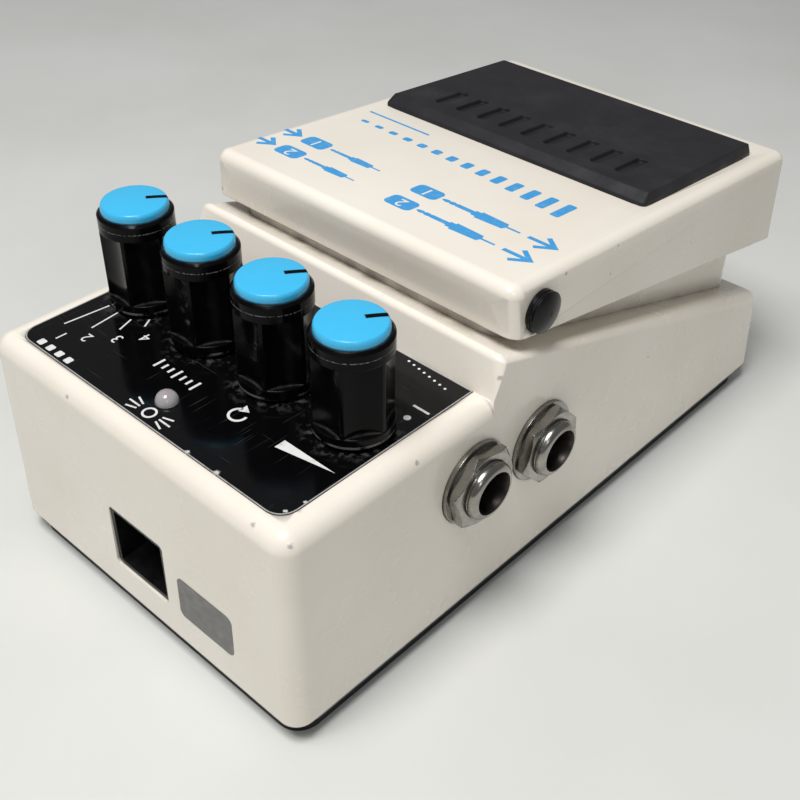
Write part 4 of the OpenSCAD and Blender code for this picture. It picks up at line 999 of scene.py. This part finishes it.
for side in (-1, 1):
    for rise in show["rayRises"]:
        near = (x + side * show["rayFrom"], y + rise)
        far = (x + side * (show["rayFrom"] + show["rayLong"] - abs(rise)), y + 2 * rise)
        addFilm(white, panelFace, stroke(near, far, show["rayMm"]))
addFilm(white, panelFace, discPoints(*show["dot"], show["dotSides"]))
for start, end in show["leaders"]:
    addFilm(white, panelFace, stroke(start, end, show["leaderMm"]))
for digit, x, y in show["numbers"]:
    addNumeral(white, panelFace, digit, show["numberMm"], x, y)
addFilm(white, panelFace, stroke(*show["minus"], show["inkMm"]))
start, end, count, radius = show["dotRow"]
for k in range(count):
    x, y = Vector(start).lerp(Vector(end), k / (count - 1))
    addFilm(white, panelFace, discPoints(x, y, radius, show["dotRowSides"]))
addPiece("panelPrintWhite", white, ["whiteInk"], "case")

# the sheet's cut edge, a thin pale line round it, painted as a highlight: square front corners, round rear
# ones
cutEdge = {
    "widthMm": 0.2, "insideMm": 0.02, "cornerMm": 3.0, "cornerSteps": 8, "sinkMm": 0.02, "raiseMm": 0.025,
    "sharpDeg": 20,
}
sheetLow, sheetHigh = [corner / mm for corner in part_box("panel_sheet")]


def sheetOutline(inset):
    corner = cutEdge["cornerMm"] - inset
    steps = cutEdge["cornerSteps"]
    right = sheetHigh.x - cutEdge["cornerMm"]
    rear = sheetHigh.y - cutEdge["cornerMm"]
    outline = [(sheetLow.x + inset, sheetLow.y + inset), (sheetHigh.x - inset, sheetLow.y + inset)]
    outline += arcPoints(right, rear, corner, 0, tau / 4, steps)
    return outline + arcPoints(-right, rear, corner, tau / 4, tau / 2, steps)


edge = bmesh.new()
outer = sheetOutline(cutEdge["insideMm"])
inner = sheetOutline(cutEdge["insideMm"] + cutEdge["widthMm"])
zLow = sheetHigh.z - cutEdge["sinkMm"]
zHigh = sheetHigh.z + cutEdge["raiseMm"]
rings = []
for outline, z in ((outer, zLow), (outer, zHigh), (inner, zHigh), (inner, zLow)):
    rings.append(outlineRing(edge, Matrix.Identity(4), outline, z))
joinRings(edge, rings, closed=True)
addPiece("panelSheetCutEdge", edge, ["paintedCutEdgeHighlight"], "case", cutEdge["sharpDeg"])

# bare grey label on the back wall
labelShape = {"centreMm": (-15.6, 13.9), "sizeMm": (12.2, 8.0), "cornerMm": 1.2, "thickMm": 0.06}
label = bmesh.new()
labelX, labelZ = labelShape["centreMm"]
labelFace = faceFrame(castings["chassis"], (labelX, 90, labelZ), (0, -1, 0), (-1, 0, 0))
labelOutline = roundedBox(*labelShape["sizeMm"], labelShape["cornerMm"])
addFilm(label, labelFace, labelOutline, labelShape["thickMm"])
addPiece("backWallLabel", label, ["greyFoil"], "case")
print("prints, cut edge and label done")

# camera solved from the photograph's edges, lens for a 36 mm frame
cameraSetup = {
    "location": (-0.111076, 0.125370, 0.140356),
    "right": (-0.72950, -0.68390, 0.01041),
    "up": (0.4262, -0.4426, 0.7889),
    "back": (-0.53493, 0.57995, 0.61441),
    "lens": 51.30, "frame": 36, "clipStart": 0.005,
}
camera = bpy.data.objects.new("photoCamera", bpy.data.cameras.new("photoCamera"))
turned = Matrix((cameraSetup["right"], cameraSetup["up"], cameraSetup["back"])).transposed().to_4x4()
camera.matrix_world = Matrix.Translation(cameraSetup["location"]) @ turned
camera.data.lens = cameraSetup["lens"]
camera.data.sensor_width = cameraSetup["frame"]
camera.data.clip_start = cameraSetup["clipStart"]
scene.collection.objects.link(camera)
scene.camera = camera

# one soft light overhead, a small weak one on the camera's side, and an even pale world
lightSetup = {
    "overhead": {"place": (-0.03, 0.19, 0.54), "aim": (0, 0, 0.03), "sizeM": 0.24, "watts": 3.1},
    "cameraSide": {"place": (-0.45, 0.30, 0.40), "aim": (0, 0, 0.03), "sizeM": 0.12, "watts": 0.2},
}
worldSetup = {"colour": "#E9EBEE", "strength": 0.24}
for name, light in lightSetup.items():
    lamp = bpy.data.lights.new(name, "AREA")
    lamp.shape = "SQUARE"
    lamp.size = light["sizeM"]
    lamp.energy = light["watts"]
    holder = bpy.data.objects.new(name, lamp)
    place = Vector(light["place"])
    facing = (place - Vector(light["aim"])).to_track_quat("Z", "Y").to_matrix().to_4x4()
    holder.matrix_world = Matrix.Translation(place) @ facing
    scene.collection.objects.link(holder)
world = bpy.data.worlds.new("studio")
scene.world = world
world.use_nodes = True
sky = world.node_tree.nodes["Background"]
sky.inputs["Color"].default_value = toLinear(worldSetup["colour"])
sky.inputs["Strength"].default_value = worldSetup["strength"]

# plain pale floor with a faint paper tooth
floorSetup = {
    "colour": "#D8D8D4", "shade": "#D2D2CD", "cloudMm": 60, "roughness": (0.75, 0.85), "smearMm": 8,
    "toothMm": 0.6, "sizeM": 3.0,
}
material, tree, coords = newMaterial("palePaperFloor")
cloud = patches(tree, coords, floorSetup["cloudMm"], low=0, high=1)
dull = addNode(tree, "BsdfPrincipled", {
    "Base Color": addNode(tree, "MixRGB", {
        "Fac": cloud, "Color1": floorSetup["colour"], "Color2": floorSetup["shade"],
    }),
    "Roughness": patches(tree, coords, floorSetup["smearMm"], *floorSetup["roughness"]),
    "Normal": relief(tree, coords, floorSetup["toothMm"], heightMm=0.01, edgeMm=0.1),
})
addNode(tree, "OutputMaterial", {"Surface": dull})
half = floorSetup["sizeM"] / 2
corners = [(-half, -half, 0), (half, -half, 0), (half, half, 0), (-half, half, 0)]
paper = bpy.data.meshes.new("studioFloor")
paper.from_pydata(corners, [], [(0, 1, 2, 3)])
paper.materials.append(material)
studioFloor = bpy.data.objects.new("studioFloor", paper)
scene.collection.objects.link(studioFloor)
scene.view_settings.view_transform = "Standard"
print("camera, light and floor done")
